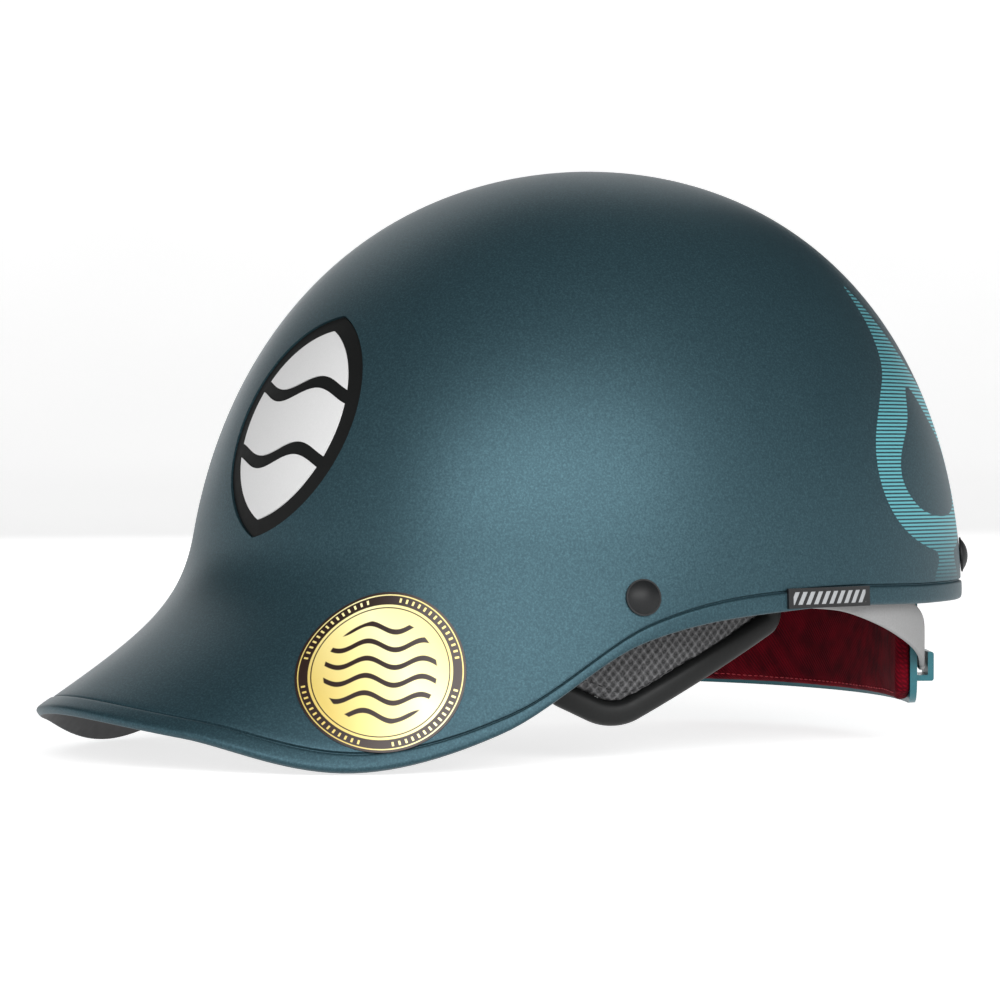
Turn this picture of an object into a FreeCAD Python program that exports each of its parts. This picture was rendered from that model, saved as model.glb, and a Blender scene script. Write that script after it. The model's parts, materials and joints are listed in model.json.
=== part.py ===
import FreeCAD, Part
import math
import os

# Water sports helmet with an integral peak, an impact liner, comfort pads, ear pads,
# a hinged neck cradle held by a rubber strap, and a chin strap stowed inside the crown.
# Millimetres.  Front is -Y, the wearer's left is +X, up is +Z.  The origin lies on the
# plane of symmetry, at the height of the rear rim, on the axis of the dome.
# Angles round the dome (phi) start at the front and grow towards the wearer's left.

V = FreeCAD.Vector

# ---------------------------------------------------------------- driving dimensions
HALF_WIDTH = 114.0          # dome half width at its widest ring
FRONT_REACH = 138.0         # axis to brow
BACK_REACH = 135.0          # axis to back of the dome
DOME_HEIGHT = 154.0         # widest ring to crown
WIDEST_Z = -6.0             # height of the widest ring
CROWN_LEAN = 4.6            # crown set back from the axis
PLAN_SQUARENESS = 0.035     # how far the plan bulges between its four axes
DOME_FULLNESS = 0.02        # same, in side view
BROW_Z = 24.0               # dome ends here and the flare to the rim begins
BROW_CORNER = 0.40          # how sharply the flare turns out of the dome
BROW_PULL = 0.25            # straightness of the peak
PEAK_REACH = 61.0           # peak tip in front of the brow
PEAK_TAPER = 1.4            # how quickly the peak fades towards the sides
PEAK_SQUARENESS = 0.056
RIM_HEIGHTS = ((0, -30.0), (25, -35.5), (45, -47.0), (60, -36.0),
               (75, -8.0), (95, 1.0), (125, 1.0), (180, 0.0))

SHELL_WALL = 3.0
BEAD_HEIGHT = 7.0           # raised band along the rim
BEAD_PROUD = 0.3
GROOVE_WIDTH = 1.2
GROOVE_DEPTH = 0.8
EDGE_BREAK = 1.0

LINER_GAP = 0.4             # shell to liner
LINER_WALL = 20.0
LINER_HEM = ((0, 8.0), (60, 12.0), (78, 13.0), (92, 13.5), (103, 18.0),
             (125, 20.0), (138, 25.0), (180, 25.0))
PAD_GAP = 0.4               # liner to comfort pads
PAD_WALL = 8.5

RIVET_CAP_R = 6.0
RIVET_CAP_HEIGHT = 2.6
RIVET_SHANK_R = 2.5
RIVET_HOLE_GAP = 0.05
SIDE_RIVET_PHI = 72.0
SIDE_RIVET_Z = 6.5
REAR_RIVET_PHI = 147.0
REAR_RIVET_Z = 15.5

BADGE_PHI = 7.5             # front emblem, a leaning leaf crossed by two waves
BADGE_Z = 63.0
BADGE_LONG = 79.0
BADGE_WIDE = 60.0
BADGE_LEAN = 5.5
BADGE_RECESS = 1.7          # depth of its pocket in the shell
BADGE_SUNK = 0.6            # face of the badge below the shell's surface
BADGE_GAP = 0.5
BADGE_BORDER = 5.5
INLAY_SUNK = 0.25
INLAY_FOOT = 1.1
WAVE_GAP = 4.5
WAVE_SWELL = 2.6

LABEL_PHI = 40.5            # round label on the left of the peak
LABEL_R = 27.5
LABEL_S = 0.848
LABEL_THICK = 0.3
LABEL_LIFT = 0.12           # adhesive under the label

PLATE_PHI = 101.0           # name plate on the rim band, both sides
PLATE_LONG = 36.0
PLATE_THICK = 0.9

EAR_BEHIND = 5.8            # liner's inside to the ear pad's outer face
EAR_WALL = 8.0
EAR_PIPING_R = 4.0
HOOK_PATCH_THICK = 1.7      # hook-and-loop patches behind the ear pads
LOOP_PATCH_THICK = 1.2

HINGE_Z = 14.0              # neck cradle hinge
HINGE_X = 50.0              # middle of each knuckle
KNUCKLE_WIDE = 8.0
KNUCKLE_R = 4.0
PIN_R = 1.5
PIN_GAP = 0.05
EAR_THICK = 3.0             # bracket ears beside each knuckle
EAR_GAP = 0.4
CRADLE_R = 138.0            # outside of the cradle plate, seen from above
CRADLE_WALL = 2.4
CRADLE_BACK_Y = 112.0
CRADLE_HALF_ARC = 33.0
CRADLE_LOW_Z = -35.0
CRADLE_TOP_Z = 3.0
CRADLE_CORNER_R = 9.0
NECK_PAD_WALL = 6.0
NECK_PAD_GAP = 0.3
HOOK_ARC = 29.0             # where each hook stands on the cradle
HOOK_WIDE = 16.0
HOOK_TALL = 10.0
HOOK_SLOT = 3.6
HOOK_WALL = 2.0
HOOK_Z = -27.0              # underside of the hook

NECK_STRAP_WIDE = 14.0
NECK_STRAP_THICK = 2.2
STRAP_ANCHOR_PHI = 101.0
STRAP_ANCHOR_SET_IN = 11.0
ANCHOR_PLATE = 4.0          # stands the strap off the shell
NECK_STRAP_RISE = 8.0       # height of its anchored end
WEBBING_WIDE = 16.0
WEBBING_THICK = 1.5
STOWED_BEHIND = 3.3         # comfort pads to the middle of the stowed webbing

STATIONS = 48               # meridians used round each closed skin

PARTS = "parts"
os.makedirs(PARTS, exist_ok=True)


def save(name, shape):
    shape.exportStep(os.path.join(PARTS, name + ".step"))
    low = shape.BoundBox
    print("%-24s solids %d  volume %9.0f  valid %s  z %.1f..%.1f" % (
        name, len(shape.Solids), shape.Volume, shape.isValid(), low.ZMin, low.ZMax))


# ---------------------------------------------------------------- the dome and its flare
def smooth_steps(table, x):
    """Value at x of a smooth curve through (x, y) pairs, level at both ends."""
    x = min(max(x, table[0][0]), table[-1][0])
    last = len(table) - 2
    i = 0
    while i < last and x >= table[i + 1][0]:
        i += 1

    def slope(k):
        if k in (0, len(table) - 1):
            return 0.0
        return (table[k + 1][1] - table[k - 1][1]) / (table[k + 1][0] - table[k - 1][0])

    span = table[i + 1][0] - table[i][0]
    u = (x - table[i][0]) / span
    a = (2 * u ** 3 - 3 * u ** 2 + 1) * table[i][1]
    b = (u ** 3 - 2 * u ** 2 + u) * span * slope(i)
    c = (3 * u ** 2 - 2 * u ** 3) * table[i + 1][1]
    d = (u ** 3 - u ** 2) * span * slope(i + 1)
    return a + b + c + d


def reach(phi):
    return (FRONT_REACH + BACK_REACH) / 2 + (FRONT_REACH - BACK_REACH) / 2 * math.cos(phi)


def dome(phi, t):
    """Outside of the dome; t runs from 0 at the crown to pi/2 at the widest ring."""
    plan = 1 + PLAN_SQUARENESS * math.sin(2 * phi) ** 2
    full = 1 + DOME_FULLNESS * math.sin(2 * t) ** 2
    out = math.sin(t) * full * plan
    up = math.cos(t) * full
    return V(HALF_WIDTH * math.sin(phi) * out,
             -reach(phi) * math.cos(phi) * out + CROWN_LEAN * up,
             WIDEST_Z + DOME_HEIGHT * up)


def dome_angle(z):
    """t of the dome at height z."""
    low, high = 0.0, math.pi / 2
    for _ in range(40):
        mid = (low + high) / 2
        if dome(0.0, mid).z > z:
            low = mid
        else:
            high = mid
    return (low + high) / 2


def rim(phi):
    """Edge of the shell, with the peak in front."""
    c = math.cos(phi)
    square = PEAK_SQUARENESS if c > 0 else PLAN_SQUARENESS
    plan = 1 + square * math.sin(2 * phi) ** 2
    peak = PEAK_REACH * max(c, 0.0) ** PEAK_TAPER
    degrees = abs(math.degrees(math.remainder(phi, 2 * math.pi)))
    return V(HALF_WIDTH * math.sin(phi) * plan, -(reach(phi) * c * plan + peak),
             smooth_steps(RIM_HEIGHTS, degrees))


BROW_T = dome_angle(BROW_Z)
DOME_SHARE = 0.6            # share of the surface parameter spent on the dome


def flare(phi):
    """The four control points of the curve from the brow to the rim."""
    start = dome(phi, BROW_T)
    heading = (dome(phi, BROW_T + 1e-3) - start).normalize()
    edge = rim(phi)
    first = start + heading * (BROW_CORNER * (start.z - edge.z))
    second = first + (edge - first) * BROW_PULL
    return start, first, second, edge


def outside(phi, s):
    """Outside of the shell; s runs from 0 at the crown to 1 at the rim."""
    if s <= DOME_SHARE:
        return dome(phi, s / DOME_SHARE * BROW_T)
    u = (s - DOME_SHARE) / (1 - DOME_SHARE)
    p0, p1, p2, p3 = flare(phi)
    w = 1 - u
    return p0 * w ** 3 + p1 * (3 * w * w * u) + p2 * (3 * w * u * u) + p3 * u ** 3


def above_rim(phi, distance):
    """s at a distance up from the rim, measured along the surface."""
    p0, p1, p2, p3 = flare(phi)
    return 1 - (1 - DOME_SHARE) * distance / (3 * (p3 - p2).Length)


def outward(surface, phi, v):
    """Unit normal of a surface, pointing out of the helmet."""
    if v == 0:
        return V(0, 0, 1)
    v = max(v, 0.02)
    step = 2e-3
    across = surface(phi + step, v) - surface(phi - step, v)
    down = surface(phi, v) - surface(phi, v - step)
    return down.cross(across).normalize()


def offset(surface, phi, v, distance):
    return surface(phi, v) + outward(surface, phi, v) * distance


def dome_at(phi, z, distance):
    """Point on the dome at height z, moved out of (or into) the helmet."""
    return offset(dome, phi, dome_angle(z), distance)


# ---------------------------------------------------------------- solids from curved skins
def round_angles():
    return [2 * math.pi * i / STATIONS - math.pi for i in range(STATIONS)]


def ring_curve(points):
    curve = Part.BSplineCurve()
    steps = [float(i) for i in range(len(points) + 1)]
    curve.interpolate(Points=points, PeriodicFlag=True, Parameters=steps)
    return curve


def skin(rings):
    """Smooth face through closed rings of points, the first of which may be one point."""
    count = len(rings[0])
    steps = [0.0]
    for upper, lower in zip(rings, rings[1:]):
        mean = sum((b - a).Length for a, b in zip(upper, lower)) / count
        steps.append(steps[-1] + mean)
    meridians = []
    for i in range(count):
        curve = Part.BSplineCurve()
        curve.interpolate(Points=[ring[i] for ring in rings], Parameters=steps)
        meridians.append(curve)
    nets = [curve.getPoles() for curve in meridians]
    pattern = ring_curve(rings[-1])
    rows = []
    for k in range(len(nets[0])):
        row = [net[k] for net in nets]
        if max((p - row[0]).Length for p in row) < 1e-6:
            rows.append([row[0]] * pattern.NbPoles)
        else:
            rows.append(ring_curve(row).getPoles())
    poles = [[row[i] for row in rows] for i in range(pattern.NbPoles)]
    surface = Part.BSplineSurface()
    surface.buildFromPolesMultsKnots(
        poles, pattern.getMultiplicities(), meridians[0].getMultiplicities(),
        pattern.getKnots(), meridians[0].getKnots(), True, False, 3, 3)
    return surface.toShape()


def strip(upper, lower):
    return Part.makeRuledSurface(ring_curve(upper).toShape(), ring_curve(lower).toShape())


def closed(faces):
    sewn = Part.Compound(faces)
    sewn.sewShape(1e-3)
    solid = Part.Solid(sewn.Shells[0])
    if solid.Volume < 0:
        solid.reverse()
    return solid


def rings_of(surface, values, distance):
    """Rings at the given surface parameters; each value is a number or a function of phi."""
    rings = []
    for value in values:
        ring = []
        for phi in round_angles():
            v = value(phi) if callable(value) else value
            ring.append(offset(surface, phi, v, distance))
        rings.append(ring)
    return rings


def shell_rows(last):
    rows = [DOME_SHARE * i / 9 for i in range(9)]
    for part in (0.0, 0.2, 0.4, 0.6, 0.8, 1.0):
        rows.append(lambda phi, part=part: DOME_SHARE + (last(phi) - DOME_SHARE) * part)
    return rows


def outline_body(distance):
    """Everything inside the shell's outside skin moved by a distance, down to a floor."""
    rows = rings_of(outside, shell_rows(lambda phi: 1.0), distance)
    floor_z = min(z for _, z in RIM_HEIGHTS) - 40
    floor = [V(p.x, p.y, floor_z) for p in rows[-1]]
    base = Part.Face(Part.Wire([ring_curve(floor).toShape()]))
    return closed([skin(rows), strip(rows[-1], floor), base])


def block(point, u_range, v_range, w_range, nu=9, nv=7):
    """Closed solid filling a box in the coordinates of point(u, v, w)."""
    def span(limits, n):
        return [limits[0] + (limits[1] - limits[0]) * i / (n - 1) for i in range(n)]

    sides = []
    for w in w_range:
        grid = [[point(u, v, w) for v in span(v_range, nv)] for u in span(u_range, nu)]
        surface = Part.BSplineSurface()
        surface.interpolate(grid)
        sides.append(surface)
    faces = [side.toShape() for side in sides]
    u0, u1, v0, v1 = sides[0].bounds()
    a, b = sides
    ua, ub, va, vb = b.bounds()
    faces.append(Part.makeRuledSurface(a.uIso(u0).toShape(), b.uIso(ua).toShape()))
    faces.append(Part.makeRuledSurface(a.uIso(u1).toShape(), b.uIso(ub).toShape()))
    faces.append(Part.makeRuledSurface(a.vIso(v0).toShape(), b.vIso(va).toShape()))
    faces.append(Part.makeRuledSurface(a.vIso(v1).toShape(), b.vIso(vb).toShape()))
    return closed(faces)


def ribbon(centres, widths, normals, wide, thick):
    """Flat strap along centres; widths and normals are unit vectors at each centre."""
    steps = [0.0]
    for a, b in zip(centres, centres[1:]):
        steps.append(steps[-1] + (b - a).Length)
    rails = []
    for across, up in ((-1, -1), (1, -1), (1, 1), (-1, 1)):
        points = []
        for c, w, n in zip(centres, widths, normals):
            points.append(c + w * (across * wide / 2) + n * (up * thick / 2))
        curve = Part.BSplineCurve()
        curve.interpolate(Points=points, Parameters=steps)
        rails.append(curve.toShape())
    faces = []
    for i in range(4):
        faces.append(Part.makeRuledSurface(rails[i], rails[(i + 1) % 4]))
    for end in (0, -1):
        corners = []
        for across, up in ((-1, -1), (1, -1), (1, 1), (-1, 1)):
            c, w, n = centres[end], widths[end], normals[end]
            corners.append(c + w * (across * wide / 2) + n * (up * thick / 2))
        faces.append(Part.Face(Part.makePolygon(corners + [corners[0]])))
    return closed(faces)


def mirrored(shape):
    return shape.mirror(V(0, 0, 0), V(1, 0, 0))


def cylinder(radius, length, base, axis):
    return Part.makeCylinder(radius, length, base, axis)


def local_frame(surface, phi, v):
    """Point, outward normal, the direction round the helmet and the direction up it."""
    point = surface(phi, v)
    normal = outward(surface, phi, v)
    up = V(0, 0, 1) - normal * normal.z
    up.normalize()
    return point, normal, up.cross(normal), up


def prism(surface_frame, points, depth_in, depth_out):
    """Solid with an outline given in (round, up) coordinates of a local frame."""
    origin, normal, across, up = surface_frame
    corners = []
    for a, b in points:
        corners.append(origin + across * a + up * b - normal * depth_in)
    face = Part.Face(Part.makePolygon(corners + [corners[0]]))
    return face.extrude(normal * (depth_in + depth_out))


# ---------------------------------------------------------------- outer shell
def make_shell():
    bead_top = BEAD_HEIGHT + GROOVE_WIDTH
    skin_rings = rings_of(outside, shell_rows(lambda phi: above_rim(phi, bead_top)), 0.0)
    profile = ((BEAD_HEIGHT + GROOVE_WIDTH * 0.7, -GROOVE_DEPTH),
               (BEAD_HEIGHT + GROOVE_WIDTH * 0.3, -GROOVE_DEPTH),
               (BEAD_HEIGHT, BEAD_PROUD),
               (EDGE_BREAK, BEAD_PROUD),
               (0.0, -EDGE_BREAK * 0.7))
    faces = [skin(skin_rings)]
    above = skin_rings[-1]
    for distance, proud in profile:
        ring = rings_of(outside, [lambda phi, d=distance: above_rim(phi, d)], proud)[0]
        faces.append(strip(above, ring))
        above = ring
    inner = rings_of(outside, shell_rows(lambda phi: 1.0), -SHELL_WALL)
    faces.append(strip(above, inner[-1]))
    faces.append(skin(inner))
    return closed(faces)


def at_height(phi, z):
    """s of the shell's outside at height z, on the flare or the dome."""
    low, high = 0.0, 1.0
    for _ in range(40):
        mid = (low + high) / 2
        if outside(phi, mid).z > z:
            low = mid
        else:
            high = mid
    return (low + high) / 2


def rivet_seats():
    """Local frames of the four strap rivets, left side then right side."""
    seats = {}
    for name, degrees, z in (("side", SIDE_RIVET_PHI, SIDE_RIVET_Z),
                             ("rear", REAR_RIVET_PHI, REAR_RIVET_Z)):
        phi = math.radians(degrees)
        seats[name] = local_frame(outside, phi, at_height(phi, z))
    return seats


WASHER_THICK = 1.5
WEBBING_SEAT = SHELL_WALL + 1.0                          # behind the shell at a rivet
RIVET_STACK = WEBBING_SEAT + WEBBING_THICK + 0.2         # shell and webbing under the washer


def rivet(seat):
    """Domed cap, shank through the shell and webbing, and a peened tail in the washer."""
    origin, normal = seat[0], seat[1]
    sphere_r = (RIVET_CAP_R ** 2 + RIVET_CAP_HEIGHT ** 2) / (2 * RIVET_CAP_HEIGHT)
    ball = Part.makeSphere(sphere_r, origin + normal * (RIVET_CAP_HEIGHT + 0.3 - sphere_r))
    trim = cylinder(RIVET_CAP_R, RIVET_CAP_HEIGHT + 1, origin + normal * 0.3, normal)
    flange = cylinder(RIVET_CAP_R, 0.5, origin + normal * 0.3, normal)
    shank_long = RIVET_STACK + WASHER_THICK + 0.3 + 0.2
    shank = cylinder(RIVET_SHANK_R, shank_long, origin + normal * (0.3 + 0.1 - shank_long + 0.1),
                     normal)
    return ball.common(trim).fuse(flange).fuse(shank).removeSplitter()


def washer(seat):
    origin, normal = seat[0], seat[1]
    base = origin - normal * (RIVET_STACK + WASHER_THICK)
    ring = cylinder(RIVET_CAP_R - 0.5, WASHER_THICK, base, normal)
    return ring.cut(cylinder(RIVET_SHANK_R, WASHER_THICK, base, normal))


def rivet_hole(seat):
    origin, normal = seat[0], seat[1]
    return cylinder(RIVET_SHANK_R + RIVET_HOLE_GAP, 30, origin - normal * 20, normal)


# ---------------------------------------------------------------- badge, label and plates
def badge_outline(grow):
    """Leaning leaf made of two arcs, grown outwards by grow."""
    half_l = BADGE_LONG / 2
    lean = half_l * math.sin(math.radians(BADGE_LEAN))
    top, bottom = V(lean, half_l, 0), V(-lean, -half_l, 0)
    right, left = V(BADGE_WIDE / 2, 0, 0), V(-BADGE_WIDE / 2, 0, 0)
    wire = Part.Wire([Part.Arc(top, right, bottom).toShape(),
                      Part.Arc(bottom, left, top).toShape()])
    if grow:
        wire = wire.makeOffset2D(grow, 2)
    return wire


def wave_band(height):
    """Outline of one wave-shaped gap across the badge."""
    upper, lower = [], []
    for i in range(17):
        x = (i / 16 - 0.5) * BADGE_WIDE * 1.2
        y = height + WAVE_SWELL * math.sin(2 * math.pi * x / (BADGE_WIDE * 0.62))
        upper.append(V(x, y + WAVE_GAP / 2, 0))
        lower.append(V(x, y - WAVE_GAP / 2, 0))
    edges = [Part.makeLine(upper[0], lower[0]), Part.makeLine(upper[-1], lower[-1])]
    for row in (upper, lower):
        curve = Part.BSplineCurve()
        curve.interpolate(row)
        edges.append(curve.toShape())
    return Part.Wire(Part.__sortEdges__(edges))


def stand_on(wire, seat, depth):
    """Solid from a flat outline, set across a local frame and reaching depth each way."""
    origin, normal, across, up = seat
    place = FreeCAD.Matrix(across.x, up.x, normal.x, origin.x,
                           across.y, up.y, normal.y, origin.y,
                           across.z, up.z, normal.z, origin.z,
                           0, 0, 0, 1)
    solid = Part.Face(wire).extrude(V(0, 0, 2 * depth))
    solid.translate(V(0, 0, -depth))
    return solid.transformGeometry(place)


# ---------------------------------------------------------------- liner and comfort pads
def hem_angle(phi):
    degrees = abs(math.degrees(math.remainder(phi, 2 * math.pi)))
    return dome_angle(smooth_steps(LINER_HEM, degrees))


def liner_rows(last):
    return [0.0] + [lambda phi, k=i / 9: last(phi) * k for i in range(1, 10)]


def cap_between(last, outer, inner):
    """Closed cap between two set-in skins of the dome, ending at t = last(phi)."""
    upper = rings_of(dome, liner_rows(last), -outer)
    lower = rings_of(dome, liner_rows(last), -inner)
    return closed([skin(upper), strip(upper[-1], lower[-1]), skin(lower)])


LINER_IN = SHELL_WALL + LINER_GAP
PAD_OUT = LINER_IN + LINER_WALL + PAD_GAP
EAR_SET_IN = LINER_IN + LINER_WALL + EAR_BEHIND          # in from the widest ring's plan
STOWED_SET_IN = PAD_OUT + PAD_WALL + STOWED_BEHIND       # in from the outside of the dome
SLOT_GAP = 2.4              # room round the webbing where it passes through the liner
SLOT_RISE = 17.5            # slot above its rivet


def webbing_slot(seat_phi, rivet_z):
    """Channel behind the webbing and the slot that leads it into the head cavity."""
    seat = local_frame(dome, seat_phi, dome_angle(rivet_z + SLOT_RISE))
    half = WEBBING_WIDE / 2 + SLOT_GAP
    tall = WEBBING_THICK / 2 + SLOT_GAP + 2.0
    low = -SLOT_RISE - 8
    wide = half + 2.0                                    # the webbing turns as it climbs
    channel = prism(seat, ((-wide, low), (wide, low), (wide, tall), (-wide, tall)),
                    LINER_IN + 6.6, 2)
    through = prism(seat, ((-half, -tall), (half, -tall), (half, tall), (-half, tall)),
                    PAD_OUT + 6, 2)
    return channel.fuse(through)


def comfort_pad(phi_range, z_range, wall=PAD_WALL):
    def point(phi, z, w):
        return dome_at(math.radians(phi), z, -(PAD_OUT + w))
    return block(point, phi_range, z_range, (0.0, wall))


# ---------------------------------------------------------------- ear pads
def plan_point(phi, set_in):
    """Point of the widest ring's plan, moved straight in."""
    edge = dome(phi, math.pi / 2)
    step = 2e-3
    along = (dome(phi + step, math.pi / 2) - dome(phi - step, math.pi / 2)).normalize()
    return V(edge.x, edge.y, 0) - V(along.y, -along.x, 0) * set_in


def wall_band(phi_low, phi_high, set_in, thick, z_low, z_high):
    """Upright wall that follows the plan of the helmet."""
    outer, inner = [], []
    for i in range(13):
        phi = math.radians(phi_low + (phi_high - phi_low) * i / 12)
        outer.append(plan_point(phi, set_in))
        inner.append(plan_point(phi, set_in + thick))
    edges = []
    for row in (outer, inner):
        curve = Part.BSplineCurve()
        curve.interpolate(row)
        edges.append(curve.toShape())
    edges.append(Part.makeLine(outer[0], inner[0]))
    edges.append(Part.makeLine(outer[-1], inner[-1]))
    face = Part.Face(Part.Wire(Part.__sortEdges__(edges)))
    face.translate(V(0, 0, z_low))
    return face.extrude(V(0, 0, z_high - z_low))


def ear_outline(shrink):
    """Leaf outline in side view, low in front and rising to the back."""
    corners = ((-62, -27), (-36, -40), (31, -6), (27, 10), (14, 21), (-16, 21), (-26, 13),
               (-50, 10))
    rounds = (10, 20, 9, 8, 8, 6, 6, 12)
    points = [V(0, y, z) for y, z in corners]
    edges = []
    marks = []
    count = len(points)
    for i in range(count):
        here, before, after = points[i], points[i - 1], points[(i + 1) % count]
        a = (before - here).normalize()
        b = (after - here).normalize()
        half = a.getAngle(b) / 2
        run = rounds[i] / math.tan(half)
        middle = here + (a + b).normalize() * (rounds[i] / math.sin(half) - rounds[i])
        marks.append((here + a * run, middle, here + b * run))
    for i in range(count):
        start, middle, end = marks[i]
        edges.append(Part.Arc(start, middle, end).toShape())
        edges.append(Part.makeLine(end, marks[(i + 1) % count][0]))
    wire = Part.Wire(Part.__sortEdges__(edges))
    if shrink:
        wire = wire.makeOffset2D(-shrink)
    return wire


def ear_prism(shrink):
    face = Part.Face(ear_outline(shrink))
    face.translate(V(HALF_WIDTH * 0.4, 0, 0))
    return face.extrude(V(HALF_WIDTH * 0.7, 0, 0))


def make_ear_pad():
    """Piping round the edge and the thinner padded panel inside it."""
    band = wall_band(40, 122, EAR_SET_IN, EAR_WALL, -60, 40)
    thin = wall_band(40, 122, EAR_SET_IN + 1.0, EAR_WALL - 2.0, -60, 40)
    whole = ear_prism(0.0)
    core = ear_prism(EAR_PIPING_R * 2)
    piping = band.common(whole).cut(core)
    panel = thin.common(core)
    return piping, panel


EAR_PATCH = (78, 96)        # where the hook-and-loop patches sit round the helmet
LOOP_PATCH_Z = (16.5, 27.0)
HOOK_PATCH_Z = (9.0, 19.5)


def make_ear_patches():
    """Loop patch glued inside the liner, hook patch sewn to the back of the ear pad."""
    def point(phi, z, w):
        return dome_at(math.radians(phi), z, -(LINER_IN + LINER_WALL + 0.1 + w))
    loop = block(point, EAR_PATCH, LOOP_PATCH_Z, (0.0, LOOP_PATCH_THICK))
    hook = wall_band(EAR_PATCH[0], EAR_PATCH[1], EAR_SET_IN - HOOK_PATCH_THICK - 0.05,
                     HOOK_PATCH_THICK, HOOK_PATCH_Z[0], HOOK_PATCH_Z[1])
    return loop, hook


# ---------------------------------------------------------------- neck cradle
CRADLE_CENTRE_Y = CRADLE_BACK_Y - CRADLE_R
CRADLE_MID_R = CRADLE_R - CRADLE_WALL / 2
HINGE_Y = CRADLE_CENTRE_Y + math.sqrt(CRADLE_MID_R ** 2 - HINGE_X ** 2)


def arc_wall(outer_r, wall, half_arc, z_low, z_high):
    """Upright curved plate, centred on the back of the head."""
    centre = V(0, CRADLE_CENTRE_Y, z_low)
    angle = 2 * half_arc
    outer = Part.makeCylinder(outer_r, z_high - z_low, centre, V(0, 0, 1), angle)
    inner = Part.makeCylinder(outer_r - wall, z_high - z_low, centre, V(0, 0, 1), angle)
    plate = outer.cut(inner)
    plate.rotate(centre, V(0, 0, 1), 90 - half_arc)
    return plate


def rounded_front(half_x, z_low, z_high, low_r, high_r):
    """Solid along Y with a rounded rectangle outline in front view."""
    box = Part.makeBox(2 * half_x, CRADLE_R * 2, z_high - z_low, V(-half_x, 0, z_low))
    low, high = [], []
    for edge in box.Edges:
        mid = edge.CenterOfMass
        if abs(abs(mid.x) - half_x) < 1e-6 and abs(mid.y - CRADLE_R) < 1e-6:
            (low if mid.z < (z_low + z_high) / 2 else high).append(edge)
    box = box.makeFillet(low_r, low)
    high = [e for e in box.Edges if abs(abs(e.CenterOfMass.x) - half_x) < 1e-6
            and abs(e.CenterOfMass.z - z_high) < 1e-6 and abs(e.CenterOfMass.y - CRADLE_R) < 1]
    return box.makeFillet(high_r, high)


def hook_piece(sign):
    """J-shaped hook, open at the top, standing out from the cradle plate."""
    floor = Part.makeBox(HOOK_WIDE, HOOK_SLOT + HOOK_WALL + CRADLE_WALL / 2, HOOK_WALL,
                         V(-HOOK_WIDE / 2, -CRADLE_WALL / 2, 0))
    lip = Part.makeBox(HOOK_WIDE, HOOK_WALL, HOOK_TALL, V(-HOOK_WIDE / 2, HOOK_SLOT, 0))
    hook = floor.fuse(lip).removeSplitter()
    outer_edges = []
    for edge in hook.Edges:
        box = edge.BoundBox
        flat = box.YLength < 1e-6 and box.ZLength < 1e-6
        if flat and abs(box.YMin - HOOK_SLOT - HOOK_WALL) < 1e-6:
            outer_edges.append(edge)
    hook = hook.makeFillet(HOOK_WALL * 0.45, outer_edges)
    hook.translate(V(0, CRADLE_R, HOOK_Z))
    hook.rotate(V(0, 0, 0), V(0, 0, 1), -sign * HOOK_ARC)
    hook.translate(V(0, CRADLE_CENTRE_Y, 0))
    return hook


def make_cradle():
    half_x = CRADLE_R * math.sin(math.radians(CRADLE_HALF_ARC))
    plate = arc_wall(CRADLE_R, CRADLE_WALL, CRADLE_HALF_ARC, CRADLE_LOW_Z, CRADLE_TOP_Z)
    plate = plate.common(rounded_front(half_x, CRADLE_LOW_Z, CRADLE_TOP_Z,
                                       CRADLE_CORNER_R, CRADLE_CORNER_R / 2))
    arm_stock = arc_wall(CRADLE_R, CRADLE_WALL, CRADLE_HALF_ARC, CRADLE_TOP_Z - 4, HINGE_Z)
    for sign in (-1, 1):
        keep = Part.makeBox(KNUCKLE_WIDE, CRADLE_R * 2, HINGE_Z - CRADLE_TOP_Z + 4,
                            V(sign * HINGE_X - KNUCKLE_WIDE / 2, 0, CRADLE_TOP_Z - 4))
        knuckle = cylinder(KNUCKLE_R, KNUCKLE_WIDE,
                           V(sign * HINGE_X - KNUCKLE_WIDE / 2, HINGE_Y, HINGE_Z), V(1, 0, 0))
        plate = plate.fuse(arm_stock.common(keep)).fuse(knuckle)
    for sign in (-1, 1):
        plate = plate.fuse(hook_piece(sign))
        bore = cylinder(PIN_R + PIN_GAP, KNUCKLE_WIDE + 2,
                        V(sign * HINGE_X - KNUCKLE_WIDE / 2 - 1, HINGE_Y, HINGE_Z), V(1, 0, 0))
        plate = plate.cut(bore)
    return plate.removeSplitter()


def make_neck_pad():
    half_x = CRADLE_R * math.sin(math.radians(CRADLE_HALF_ARC)) - 0.6
    pad = arc_wall(CRADLE_R - CRADLE_WALL - NECK_PAD_GAP, NECK_PAD_WALL, CRADLE_HALF_ARC,
                   CRADLE_LOW_Z + 0.6, CRADLE_TOP_Z)
    return pad.common(rounded_front(half_x, CRADLE_LOW_Z + 0.6, CRADLE_TOP_Z,
                                    CRADLE_CORNER_R, CRADLE_CORNER_R / 2))


def pin_span():
    half = KNUCKLE_WIDE / 2 + EAR_GAP + EAR_THICK
    return HINGE_X - half, HINGE_X + half


def make_pin():
    low, high = pin_span()
    shank = cylinder(PIN_R, high - low + 0.6, V(low - 0.6, HINGE_Y, HINGE_Z), V(1, 0, 0))
    head = cylinder(PIN_R * 1.7, 1.0, V(low - 1.0, HINGE_Y, HINGE_Z), V(1, 0, 0))
    return shank.fuse(head).removeSplitter()


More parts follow.
